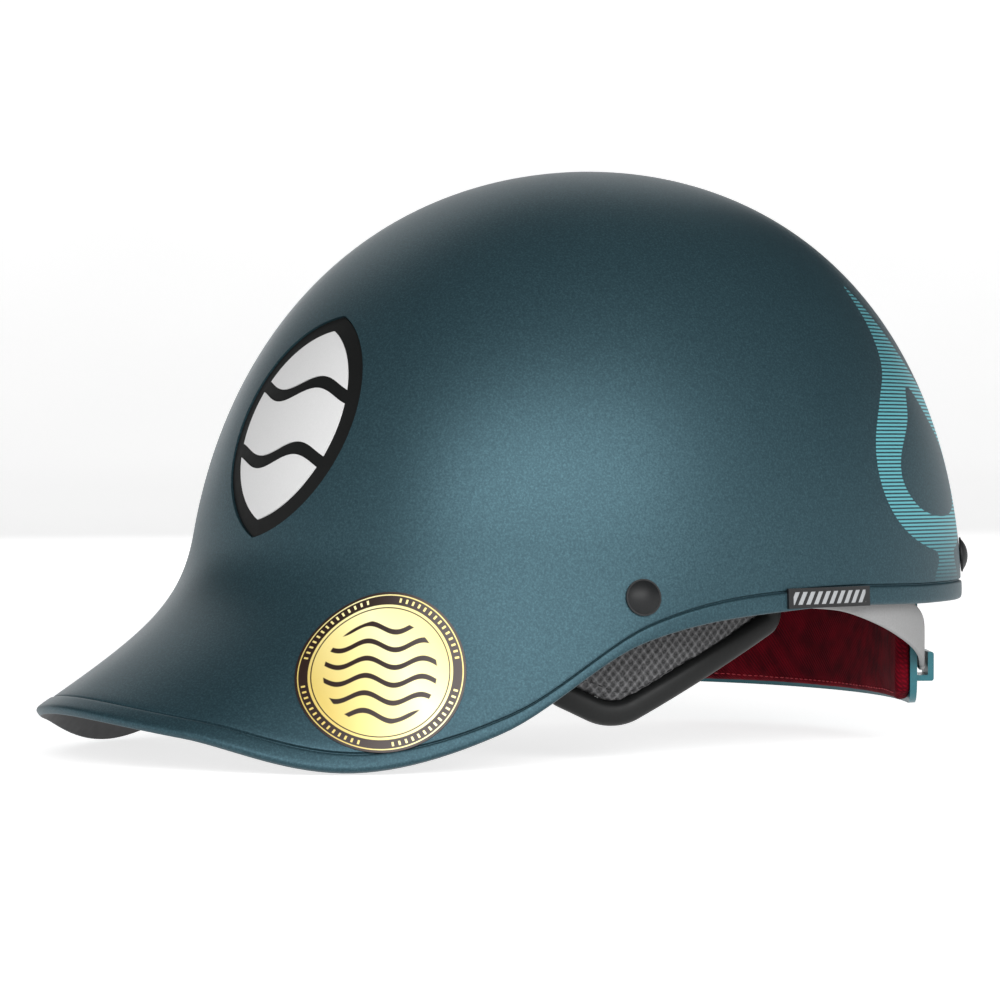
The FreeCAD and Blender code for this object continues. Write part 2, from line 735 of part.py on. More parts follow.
def make_bracket(seat):
    """Base riveted inside the shell and two ears that carry the hinge pin."""
    origin, normal, across, up = seat
    inside = RIVET_STACK + WASHER_THICK + 0.2
    half = RIVET_CAP_R + 2
    base = prism(seat, ((-half, -half), (half, -half), (half, half), (-half, half)),
                 inside + 3.0, -inside)
    low, high = pin_span()
    ears = []
    for x in (low, high - EAR_THICK):
        round_end = cylinder(KNUCKLE_R, EAR_THICK, V(x, HINGE_Y, HINGE_Z), V(1, 0, 0))
        arm = Part.makeBox(EAR_THICK, 9.5, 2 * KNUCKLE_R, V(x, HINGE_Y, HINGE_Z - KNUCKLE_R))
        ears.append(round_end.fuse(arm))
    back = Part.makeBox(high - low, 3.0, 2 * KNUCKLE_R,
                        V(low, HINGE_Y + KNUCKLE_R + 2.6, HINGE_Z - KNUCKLE_R))
    body = base.fuse(ears[0]).fuse(ears[1]).fuse(back)
    bore = cylinder(PIN_R, high - low + 4, V(low - 2, HINGE_Y, HINGE_Z), V(1, 0, 0))
    limit = outline_body(-(SHELL_WALL + 0.3))
    return body.cut(bore).common(limit).removeSplitter()


# ---------------------------------------------------------------- rubber neck strap
def strap_arc():
    """Circle, seen from above, that the strap's wall follows, and its two end angles.

    It leaves the hook along the cradle and passes through the strap's anchored end.
    """
    hook = math.radians(HOOK_ARC)
    out = V(math.sin(hook), math.cos(hook), 0)
    end = V(0, CRADLE_CENTRE_Y, 0) + out * (CRADLE_R + HOOK_SLOT / 2)
    start = plan_point(math.radians(STRAP_ANCHOR_PHI), STRAP_ANCHOR_SET_IN)
    gap = start - end
    radius = -gap.dot(gap) / (2 * gap.dot(out))
    centre = end - out * radius
    first = math.atan2(start.y - centre.y, start.x - centre.x)
    last = math.atan2(end.y - centre.y, end.x - centre.x)
    return centre, radius, first, last


def make_neck_strap():
    """Rubber strap from its anchor inside the rim, back and down into a cradle hook."""
    centre, radius, first, last = strap_arc()
    drop = NECK_STRAP_RISE - (HOOK_Z + HOOK_WALL)
    route = ((0.0, 0.0), (0.18, 0.05), (0.38, 0.20), (0.58, 0.38), (0.76, 0.54),
             (0.91, 0.68), (0.99, 0.80), (1.0, 0.92))
    unrolled = [V((last - first) * radius * share, -drop * fall, 0) for share, fall in route]
    path = Part.BSplineCurve()
    path.interpolate(unrolled)
    low, high = path.FirstParameter, path.LastParameter
    centres, widths, normals = [], [], []
    for i in range(25):
        k = low + (high - low) * i / 24
        point = path.value(k)
        run = path.tangent(k)[0]
        angle = first + point.x / radius
        out = V(math.cos(angle), math.sin(angle), 0)
        round_way = V(-math.sin(angle), math.cos(angle), 0)
        centres.append(centre + out * radius + V(0, 0, NECK_STRAP_RISE + point.y))
        heading = (round_way * run.x + V(0, 0, 1) * run.y).normalize()
        widths.append(out.cross(heading).normalize())
        normals.append(out)
    return ribbon(centres, widths, normals, NECK_STRAP_WIDE, NECK_STRAP_THICK)


def make_strap_anchor():
    """Stud plate inside the shell that holds the front end of the neck strap."""
    centre, radius, first, last = strap_arc()
    angle = first + 9.0 / radius
    out = V(math.cos(angle), math.sin(angle), 0)
    round_way = V(-math.sin(angle), math.cos(angle), 0)
    middle = centre + out * radius + V(0, 0, NECK_STRAP_RISE - 0.5)
    plate_base = middle + out * (NECK_STRAP_THICK / 2 + 0.1)
    plate = Part.makeCylinder(6.0, ANCHOR_PLATE, plate_base, out)
    stud = Part.makeCylinder(2.0, NECK_STRAP_THICK + 1.4, middle - out * 2.0, out)
    cap = Part.makeCylinder(4.0, 1.4, middle - out * (NECK_STRAP_THICK / 2 + 1.5), out)
    hole = Part.makeCylinder(2.05, NECK_STRAP_THICK * 3, middle - out * NECK_STRAP_THICK, out)
    anchor = plate.fuse(stud).fuse(cap).common(outline_body(-(SHELL_WALL + 0.2)))
    return anchor.removeSplitter(), hole


# ---------------------------------------------------------------- chin strap, stowed
def leg_route(degrees, rivet_z, seat, meet_degrees, meet_z):
    """Points and outward normals from a rivet up behind the liner and to the divider."""
    phi = math.radians(degrees)
    slot_z = rivet_z + SLOT_RISE
    behind = WEBBING_SEAT + WEBBING_THICK / 2
    points, normals = [], []
    origin, normal, across, up = seat
    for rise in (-7.5, 0.0, 5.0):
        points.append(origin - normal * behind + up * rise)
        normals.append(normal)
    stages = ((slot_z - 4.5, LINER_IN + 2.2), (slot_z - 0.8, LINER_IN + 5.0),
              (slot_z, LINER_IN + 10.0), (slot_z + 0.3, PAD_OUT - 2.0),
              (slot_z + 1.5, PAD_OUT + 5.0), (slot_z + 5.5, STOWED_SET_IN - 1.0),
              (slot_z + 13, STOWED_SET_IN))
    for z, depth in stages:
        points.append(dome_at(phi, z, -depth))
        normals.append(outward(dome, phi, dome_angle(z)))
    steps = 5
    for i in range(1, steps + 1):
        k = i / steps
        phi_k = math.radians(degrees + (meet_degrees - degrees) * k)
        z_k = slot_z + 13 + (meet_z - slot_z - 13) * k
        points.append(dome_at(phi_k, z_k, -STOWED_SET_IN))
        normals.append(outward(dome, phi_k, dome_angle(z_k)))
    return points, normals


def dress(points, outs, turn_from):
    """Widths and normals of webbing that lies along the dome after point turn_from."""
    widths, normals = [], []
    for i, point in enumerate(points):
        ahead = points[min(i + 1, len(points) - 1)]
        behind = points[max(i - 1, 0)]
        heading = (ahead - behind).normalize()
        round_way = V(0, 0, 1).cross(outs[i]).normalize()
        if i >= turn_from:
            width = outs[i].cross(heading).normalize()
            if width.dot(round_way) < 0:
                width = width * -1
        else:
            width = (round_way - heading * round_way.dot(heading)).normalize()
        widths.append(width)
        normals.append(heading.cross(width).normalize())
    return widths, normals


DIVIDER_PHI = 106.0
DIVIDER_RISE = 0.5844        # share of the dome's height
DIVIDER_Z = WIDEST_Z + DOME_HEIGHT * DIVIDER_RISE
DIVIDER_LONG = 24.0
SIDE_PAD_BELOW = 18.0       # middle of the divider to the top of the side pad
DIVIDER_WIDE = 40.0
LEG_SPREAD = 9.5            # the legs join the divider this far each side of its middle
DIVIDER_THICK = 4.0
BUCKLE_DROP = 29.7          # middle of the buckle below the crown pad
BUCKLE_Z = WIDEST_Z + DOME_HEIGHT - PAD_OUT - PAD_WALL - BUCKLE_DROP
BUCKLE_Y = 8.0
BUCKLE_WIDE = 25.0
BUCKLE_THICK = 8.0
SOCKET_LONG = 28.0
SOCKET_WALL = 1.8
PLUG_BASE_LONG = 9.0
PLUG_REACH = 19.0           # prongs inside the socket
PLUG_GAP = 0.3


def make_leg(degrees, rivet_z, seat):
    turn = math.degrees(LEG_SPREAD / (HALF_WIDTH - STOWED_SET_IN))
    meet = DIVIDER_PHI + math.copysign(turn, degrees - DIVIDER_PHI)
    meet_z = DIVIDER_Z - DIVIDER_LONG * 0.62
    points, outs = leg_route(degrees, rivet_z, seat, meet, meet_z)
    widths, normals = dress(points, outs, 9)
    leg = ribbon(points, widths, normals, WEBBING_WIDE, WEBBING_THICK)
    return leg.cut(rivet_hole(seat))


def make_divider():
    """Flat plastic piece that joins the two legs of one side to the chin webbing."""
    phi = math.radians(DIVIDER_PHI)
    seat = local_frame(dome, phi, dome_angle(DIVIDER_Z))
    half_w, half_l = DIVIDER_WIDE / 2, DIVIDER_LONG / 2
    outline = ((-half_w, -half_l), (half_w, -half_l), (WEBBING_WIDE / 2 + 2, half_l),
               (-WEBBING_WIDE / 2 - 2, half_l))
    low = STOWED_SET_IN + DIVIDER_THICK / 2
    body = prism(seat, outline, low, DIVIDER_THICK / 2 - STOWED_SET_IN)
    origin, normal, across, up = seat
    return body, origin - normal * STOWED_SET_IN + up * half_l, across, up


def chin_route(start, across, up, end_x):
    """Slack arch from the left divider to a buckle end at end_x."""
    finish = V(end_x, BUCKLE_Y, BUCKLE_Z)
    path = Part.BezierCurve()
    path.setPoles([start, start + up * 22, finish + V(20, 0, 0), finish])
    points, widths, normals = [], [], []
    for i in range(13):
        k = i / 12
        points.append(path.value(k))
        heading = path.tangent(k)[0]
        side = across * (1 - k) + V(0, 1, 0) * k
        width = (side - heading * side.dot(heading)).normalize()
        widths.append(width)
        normals.append(heading.cross(width).normalize())
    return points, widths, normals


def make_socket():
    """Female half of the side-release buckle, open towards the wearer's right."""
    half_w, half_t = BUCKLE_WIDE / 2, BUCKLE_THICK / 2
    body = Part.makeBox(SOCKET_LONG, BUCKLE_WIDE, BUCKLE_THICK,
                        V(0, BUCKLE_Y - half_w, BUCKLE_Z - half_t))
    long_edges = [e for e in body.Edges if e.BoundBox.XLength > SOCKET_LONG - 1e-6]
    body = body.makeFillet(1.6, long_edges)
    depth = PLUG_REACH + 1.0
    hollow = Part.makeBox(depth, BUCKLE_WIDE - 2 * SOCKET_WALL, BUCKLE_THICK - 2 * SOCKET_WALL,
                          V(0, BUCKLE_Y - half_w + SOCKET_WALL, BUCKLE_Z - half_t + SOCKET_WALL))
    window = Part.makeBox(8, BUCKLE_WIDE + 2, BUCKLE_THICK - 2 * SOCKET_WALL,
                          V(PLUG_REACH - 10, BUCKLE_Y - half_w - 1,
                            BUCKLE_Z - half_t + SOCKET_WALL))
    return body.cut(hollow).cut(window)


def make_plug():
    """Male half: a base with a webbing slot, two side prongs and a middle guide."""
    half_w, half_t = BUCKLE_WIDE / 2, BUCKLE_THICK / 2
    base = Part.makeBox(PLUG_BASE_LONG, BUCKLE_WIDE, BUCKLE_THICK - 1.6,
                        V(-PLUG_BASE_LONG - PLUG_GAP, BUCKLE_Y - half_w,
                          BUCKLE_Z - half_t + 0.8))
    edges = [e for e in base.Edges if e.BoundBox.XLength > PLUG_BASE_LONG - 1e-6]
    base = base.makeFillet(1.2, edges)
    thick = BUCKLE_THICK - 2 * SOCKET_WALL - 2 * PLUG_GAP
    inner = BUCKLE_WIDE - 2 * SOCKET_WALL - 2 * PLUG_GAP
    low = V(-PLUG_GAP - 0.1, BUCKLE_Y - inner / 2, BUCKLE_Z - thick / 2)
    long = PLUG_REACH + PLUG_GAP
    fork = Part.makeBox(long, inner, thick, low)
    for side in (-1, 1):
        middle = BUCKLE_Y + side * inner * 0.24
        gap = Part.makeBox(long, inner * 0.2, thick + 2,
                           V(4.0, middle - inner * 0.1, BUCKLE_Z - thick / 2 - 1))
        fork = fork.cut(gap)
    return base.fuse(fork).removeSplitter()


def make_keeper(middle, width, normal):
    """Rubber keeper round the webbing just above the divider."""
    heading = width.cross(normal)
    wide, thick, tall = WEBBING_WIDE + 3.0, WEBBING_THICK + 2.6, 5.0
    outer = Part.makeBox(wide + 2.6, tall, thick + 2.2)
    hole = Part.makeBox(wide, tall + 2, thick, V(1.3, -1, 1.1))
    ring = outer.cut(hole)
    ring.translate(V(-wide / 2 - 1.3, -tall / 2, -thick / 2 - 1.1))
    place = FreeCAD.Matrix(width.x, heading.x, normal.x, middle.x,
                           width.y, heading.y, normal.y, middle.y,
                           width.z, heading.z, normal.z, middle.z,
                           0, 0, 0, 1)
    return ring.transformGeometry(place)


def make_chin_strap(seats):
    front = make_leg(SIDE_RIVET_PHI, SIDE_RIVET_Z, seats["side"])
    rear = make_leg(REAR_RIVET_PHI, REAR_RIVET_Z, seats["rear"])
    divider, start, across, up = make_divider()
    start = start + up * 0.05
    front = max(front.cut(divider).Solids, key=lambda part: part.Volume)
    rear = max(rear.cut(divider).Solids, key=lambda part: part.Volume)
    socket_end = SOCKET_LONG + 0.05
    plug_end = PLUG_BASE_LONG + PLUG_GAP + 0.05
    points, widths, normals = chin_route(start, across, up, socket_end)
    left_webbing = ribbon(points, widths, normals, WEBBING_WIDE, WEBBING_THICK)
    keeper = make_keeper(points[3], widths[3], normals[3])
    points, widths, normals = chin_route(start, across, up, plug_end)
    right_webbing = mirrored(ribbon(points, widths, normals, WEBBING_WIDE, WEBBING_THICK))
    for side, flip in (("left", lambda shape: shape), ("right", mirrored)):
        save("front_leg_" + side, flip(front))
        save("rear_leg_" + side, flip(rear))
        save("strap_divider_" + side, flip(divider))
    save("strap_keeper", keeper)
    save("chin_webbing_left", left_webbing)
    save("chin_webbing_right", right_webbing)
    save("buckle_socket", make_socket())
    save("buckle_plug", make_plug())


def main():
    seats = rivet_seats()
    holes = [rivet_hole(seats["side"]), rivet_hole(seats["rear"])]
    holes += [mirrored(hole) for hole in holes]

    badge_phi = math.radians(BADGE_PHI)
    badge_seat = local_frame(outside, badge_phi, at_height(badge_phi, BADGE_Z))
    floor = outline_body(-BADGE_RECESS)
    face = outline_body(-BADGE_SUNK)
    recess = stand_on(badge_outline(BADGE_GAP), badge_seat, 16).cut(floor)
    badge = stand_on(badge_outline(0.0), badge_seat, 16).common(face)
    badge = badge.cut(outline_body(-BADGE_RECESS + 0.05))
    inlay = stand_on(badge_outline(-BADGE_BORDER), badge_seat, 16)
    for height in (-BADGE_LONG * 0.15, BADGE_LONG * 0.15):
        inlay = inlay.cut(stand_on(wave_band(height), badge_seat, 20))
    inlay = inlay.common(outline_body(-INLAY_SUNK)).cut(outline_body(-INLAY_FOOT))
    save("front_badge_base", badge.cut(inlay))
    save("front_badge_waves", inlay)

    shell = make_shell().cut(recess)
    for hole in holes:
        shell = shell.cut(hole)
    save("outer_shell", shell)

    label_seat = local_frame(outside, math.radians(LABEL_PHI), LABEL_S)
    label_stock = cylinder(LABEL_R, 30, label_seat[0] - label_seat[1] * 15, label_seat[1])
    label = label_stock.common(outline_body(LABEL_LIFT + LABEL_THICK)).cut(outline_body(LABEL_LIFT))
    save("round_label", label)

    plate_phi = math.radians(PLATE_PHI)
    plate_seat = local_frame(outside, plate_phi, above_rim(plate_phi, BEAD_HEIGHT / 2))
    half_l, half_h = PLATE_LONG / 2, BEAD_HEIGHT / 2 - 0.2
    stock = prism(plate_seat, ((-half_l, -half_h), (half_l, -half_h), (half_l, half_h),
                               (-half_l, half_h)), 8, 8)
    plate = stock.common(outline_body(BEAD_PROUD + 0.02 + PLATE_THICK))
    plate = plate.cut(outline_body(BEAD_PROUD + 0.02))
    save("rim_plate_left", plate)
    save("rim_plate_right", mirrored(plate))

    for name, seat in seats.items():
        save(name + "_rivet_left", rivet(seat))
        save(name + "_rivet_right", mirrored(rivet(seat)))
    washers = [washer(seat) for seat in seats.values()]
    washers += [mirrored(ring) for ring in washers]
    save("rivet_washers", Part.makeCompound(washers))

    liner = cap_between(hem_angle, LINER_IN, LINER_IN + LINER_WALL)
    for degrees, z in ((SIDE_RIVET_PHI, SIDE_RIVET_Z), (REAR_RIVET_PHI, REAR_RIVET_Z)):
        slot = webbing_slot(math.radians(degrees), z)
        liner = liner.cut(slot).cut(mirrored(slot))
    save("impact_liner", liner)

    save("front_pad", comfort_pad((-40, 40), (20, 50)))
    save("rear_pad", comfort_pad((160, 200), (34, 66)))
    side_pad = comfort_pad((86, 126), (36, DIVIDER_Z - SIDE_PAD_BELOW))
    save("side_pad_left", side_pad)
    save("side_pad_right", mirrored(side_pad))
    save("crown_pad", cap_between(lambda phi: 0.36, PAD_OUT, PAD_OUT + PAD_WALL))

    piping, panel = make_ear_pad()
    save("ear_pad_piping_left", piping)
    save("ear_pad_piping_right", mirrored(piping))
    save("ear_pad_left", panel)
    save("ear_pad_right", mirrored(panel))
    loop, hook = make_ear_patches()
    save("loop_patch_left", loop)
    save("loop_patch_right", mirrored(loop))
    save("hook_patch_left", hook)
    save("hook_patch_right", mirrored(hook))

    save("neck_cradle", make_cradle())
    save("neck_pad", make_neck_pad())
    bracket = make_bracket(seats["rear"])
    save("cradle_bracket_left", bracket)
    save("cradle_bracket_right", mirrored(bracket))
    save("cradle_pin_left", make_pin())
    save("cradle_pin_right", mirrored(make_pin()))
    anchor, stud_hole = make_strap_anchor()
    save("strap_anchor_left", anchor)
    save("strap_anchor_right", mirrored(anchor))
    strap = make_neck_strap().cut(stud_hole)
    save("neck_strap_left", strap)
    save("neck_strap_right", mirrored(strap))
    make_chin_strap(seats)


main()
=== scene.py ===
import json
import math

import bmesh
import bpy
import numpy as np
from mathutils import Matrix, Vector
from mathutils.bvhtree import BVHTree


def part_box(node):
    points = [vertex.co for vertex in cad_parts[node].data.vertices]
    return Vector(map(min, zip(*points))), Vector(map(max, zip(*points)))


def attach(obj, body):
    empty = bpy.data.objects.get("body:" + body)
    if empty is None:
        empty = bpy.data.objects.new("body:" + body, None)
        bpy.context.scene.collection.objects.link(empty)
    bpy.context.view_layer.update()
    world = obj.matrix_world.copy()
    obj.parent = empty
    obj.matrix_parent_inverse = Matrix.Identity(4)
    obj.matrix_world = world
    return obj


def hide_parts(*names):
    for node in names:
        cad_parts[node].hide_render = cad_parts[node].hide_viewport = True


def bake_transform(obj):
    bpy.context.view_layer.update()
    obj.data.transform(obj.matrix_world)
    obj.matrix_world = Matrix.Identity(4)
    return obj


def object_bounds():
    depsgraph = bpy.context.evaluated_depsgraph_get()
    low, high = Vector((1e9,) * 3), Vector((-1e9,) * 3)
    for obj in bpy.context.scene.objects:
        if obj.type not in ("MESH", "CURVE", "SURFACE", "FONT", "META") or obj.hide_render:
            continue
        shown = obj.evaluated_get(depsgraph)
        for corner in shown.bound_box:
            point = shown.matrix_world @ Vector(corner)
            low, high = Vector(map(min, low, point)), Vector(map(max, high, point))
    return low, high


# Water sports helmet.  Lengths in the shape code are millimetres, meshes are metres.
# Front is -Y, the wearer's left is +X.  phi goes round from the front to the left.

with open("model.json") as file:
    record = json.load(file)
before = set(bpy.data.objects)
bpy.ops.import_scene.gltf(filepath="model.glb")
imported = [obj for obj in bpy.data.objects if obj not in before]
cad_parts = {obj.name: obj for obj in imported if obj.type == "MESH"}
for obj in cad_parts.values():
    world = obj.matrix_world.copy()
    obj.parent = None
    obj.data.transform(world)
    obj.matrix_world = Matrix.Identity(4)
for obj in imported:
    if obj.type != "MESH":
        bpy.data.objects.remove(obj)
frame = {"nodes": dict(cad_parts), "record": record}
cad_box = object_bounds()
cad = frame["nodes"]
MM = 0.001
MERGE = 0.02 * MM                      # corners of a CAD mesh closer than this are one

# ------------------------------------------------------------------ sizes of the shell
HALF_WIDTH, FRONT_REACH, BACK_REACH = 114.0, 138.0, 135.0
DOME_HEIGHT, WIDEST_Z, CROWN_LEAN = 154.0, -6.0, 4.6
PLAN_SQUARENESS, DOME_FULLNESS = 0.035, 0.02
BROW_Z, BROW_CORNER, BROW_PULL = 24.0, 0.40, 0.25
PEAK_REACH, PEAK_TAPER, PEAK_SQUARENESS = 61.0, 1.4, 0.056
RIM_HEIGHTS = ((0, -30.0), (25, -35.5), (45, -47.0), (60, -36.0),
               (75, -8.0), (95, 1.0), (125, 1.0), (180, 0.0))
DOME_SHARE = 0.6
SHELL_WALL = 3.0
BEAD_PROFILE = ((8.6, 0.0), (8.25, -0.06), (8.0, -0.4), (7.7, -0.78), (7.45, -0.8), (7.2, -0.55),
                (7.05, -0.1), (6.85, 0.16), (6.5, 0.28), (5.8, 0.32), (4.4, 0.34), (3.0, 0.32),
                (1.8, 0.28), (1.1, 0.18), (0.6, 0.0), (0.25, -0.28), (0.05, -0.7), (0.0, -1.2),
                (0.0, -1.9), (0.06, -2.4), (0.25, -2.75))


def smooth_steps(table, x):
    """Smooth curve through (x, y) pairs, level at both ends."""
    xs = np.array([a for a, b in table], float)
    ys = np.array([b for a, b in table], float)
    slopes = np.zeros(len(xs))
    slopes[1:-1] = (ys[2:] - ys[:-2]) / (xs[2:] - xs[:-2])
    x = np.clip(x, xs[0], xs[-1])
    i = np.clip(np.searchsorted(xs, x, side="right") - 1, 0, len(xs) - 2)
    span = xs[i + 1] - xs[i]
    u = (x - xs[i]) / span
    return ((2 * u ** 3 - 3 * u ** 2 + 1) * ys[i] + (u ** 3 - 2 * u ** 2 + u) * span * slopes[i]
            + (3 * u ** 2 - 2 * u ** 3) * ys[i + 1] + (u ** 3 - u ** 2) * span * slopes[i + 1])


def dome(phi, t):
    plan = 1 + PLAN_SQUARENESS * np.sin(2 * phi) ** 2
    full = 1 + DOME_FULLNESS * np.sin(2 * t) ** 2
    reach = (FRONT_REACH + BACK_REACH) / 2 + (FRONT_REACH - BACK_REACH) / 2 * np.cos(phi)
    out, up = np.sin(t) * full * plan, np.cos(t) * full
    return np.stack([HALF_WIDTH * np.sin(phi) * out, -reach * np.cos(phi) * out + CROWN_LEAN * up,
                     WIDEST_Z + DOME_HEIGHT * up + 0 * phi], -1)


def rim(phi):
    c = np.cos(phi)
    plan = 1 + np.where(c > 0, PEAK_SQUARENESS, PLAN_SQUARENESS) * np.sin(2 * phi) ** 2
    reach = (FRONT_REACH + BACK_REACH) / 2 + (FRONT_REACH - BACK_REACH) / 2 * c
    peak = PEAK_REACH * np.clip(c, 0, 1) ** PEAK_TAPER
    degrees = np.abs(np.degrees(np.arctan2(np.sin(phi), c)))
    return np.stack([HALF_WIDTH * np.sin(phi) * plan, -(reach * c * plan + peak),
                     smooth_steps(RIM_HEIGHTS, degrees)], -1)


def dome_angle(z):
    """t of the dome at height z."""
    low, high = np.zeros_like(np.asarray(z, float)), np.zeros_like(np.asarray(z, float)) + math.pi / 2
    for _ in range(40):
        mid = (low + high) / 2
        over = dome(0 * mid, mid)[..., 2] > z
        low, high = np.where(over, mid, low), np.where(over, high, mid)
    return (low + high) / 2


BROW_T = float(dome_angle(BROW_Z))


def flare(phi):
    start = dome(phi, BROW_T + 0 * phi)
    heading = dome(phi, BROW_T + 1e-3 + 0 * phi) - start
    heading /= np.linalg.norm(heading, axis=-1, keepdims=True)
    edge = rim(phi)
    first = start + heading * (BROW_CORNER * (start[..., 2] - edge[..., 2]))[..., None]
    return start, first, first + (edge - first) * BROW_PULL, edge


def outside(phi, s):
    """Outside of the shell; s is 0 at the crown and 1 at the rim."""
    phi, s = np.broadcast_arrays(np.asarray(phi, float), np.asarray(s, float))
    on_dome = dome(phi, np.clip(s / DOME_SHARE, 0, 1) * BROW_T)
    p0, p1, p2, p3 = flare(phi)
    u = np.clip((s - DOME_SHARE) / (1 - DOME_SHARE), 0, 1)[..., None]
    w = 1 - u
    on_flare = p0 * w ** 3 + p1 * 3 * w * w * u + p2 * 3 * w * u * u + p3 * u ** 3
    return np.where((s <= DOME_SHARE)[..., None], on_dome, on_flare)


def above_rim(phi, distance):
    p0, p1, p2, p3 = flare(phi)
    return 1 - (1 - DOME_SHARE) * distance / (3 * np.linalg.norm(p3 - p2, axis=-1))


def outward(surface, phi, v):
    v = np.maximum(v, 0.02)
    step = 2e-3
    across = surface(phi + step, v) - surface(phi - step, v)
    down = surface(phi, v) - surface(phi, v - step)
    normal = np.cross(down, across)
    return normal / np.linalg.norm(normal, axis=-1, keepdims=True)


def on_shell(phi, s, lift=0.0):
    phi, s = np.broadcast_arrays(np.asarray(phi, float), np.asarray(s, float))
    return outside(phi, s) + outward(outside, phi, s) * np.asarray(lift)[..., None]


def at_height(phi, z):
    low, high = 0.0, 1.0
    for _ in range(40):
        mid = (low + high) / 2
        low, high = (mid, high) if outside(phi, mid)[2] > z else (low, mid)
    return (low + high) / 2


def seat_at(degrees, s):
    """Point, outward normal, direction round the helmet and direction up it."""
    phi = math.radians(degrees)
    point = outside(phi, s)
    normal = outward(outside, np.array(phi), np.array(s))
    up = np.array([0.0, 0.0, 1.0]) - normal * normal[2]
    up /= np.linalg.norm(up)
    return point, normal, np.cross(up, normal), up


# ------------------------------------------------------------------ mesh helpers
def piece(name, points, faces, finish=None, smooth=True, body="helmet", sharp=None):
    """A mesh object from millimetre points."""
    mesh = bpy.data.meshes.new(name)
    mesh.from_pydata((np.asarray(points, float) * MM).tolist(), [], faces)
    mesh.validate()
    thing = bpy.data.objects.new(name, mesh)
    bpy.context.scene.collection.objects.link(thing)
    if finish:
        mesh.materials.append(finish)
    for face in mesh.polygons:
        face.use_smooth = smooth
    if sharp:
        mesh.set_sharp_from_angle(angle=math.radians(sharp))
    if body:
        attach(thing, body)
    return thing


def face_out(mesh):
    work = bmesh.new()
    work.from_mesh(mesh)
    bmesh.ops.recalc_face_normals(work, faces=work.faces)
    work.to_mesh(mesh)
    work.free()


def grid_faces(rows, columns, wrap):
    faces = []
    last = columns if wrap else columns - 1
    for r in range(rows - 1):
        for c in range(last):
            d = (c + 1) % columns
            faces.append((r * columns + c, r * columns + d, (r + 1) * columns + d,
                          (r + 1) * columns + c))
    return faces


def copy_of(node, name):
    """A merged copy of a CAD node's mesh, as a new object at the origin."""
    mesh = cad[node].data.copy()
    mesh.name = name
    mesh.materials.clear()
    work = bmesh.new()
    work.from_mesh(mesh)
    bmesh.ops.remove_doubles(work, verts=work.verts, dist=MERGE)
    work.to_mesh(mesh)
    work.free()
    thing = bpy.data.objects.new(name, mesh)
    bpy.context.scene.collection.objects.link(thing)
    return thing


def settle(thing):
    """Applies the live modifiers of an object to its mesh."""
    graph = bpy.context.evaluated_depsgraph_get()
    mesh = bpy.data.meshes.new_from_object(thing.evaluated_get(graph))
    thing.modifiers.clear()
    old = thing.data
    thing.data = mesh
    mesh.name = thing.name
    bpy.data.meshes.remove(old)
    return thing


# ------------------------------------------------------------------ finishes
def srgb(r, g, b):
    def linear(c):
        c = c / 255.0
        return c / 12.92 if c <= 0.04045 else ((c + 0.055) / 1.055) ** 2.4
    return (linear(r), linear(g), linear(b), 1.0)


BLACK, WHITE = (0.0, 0.0, 0.0, 1.0), (1.0, 1.0, 1.0, 1.0)


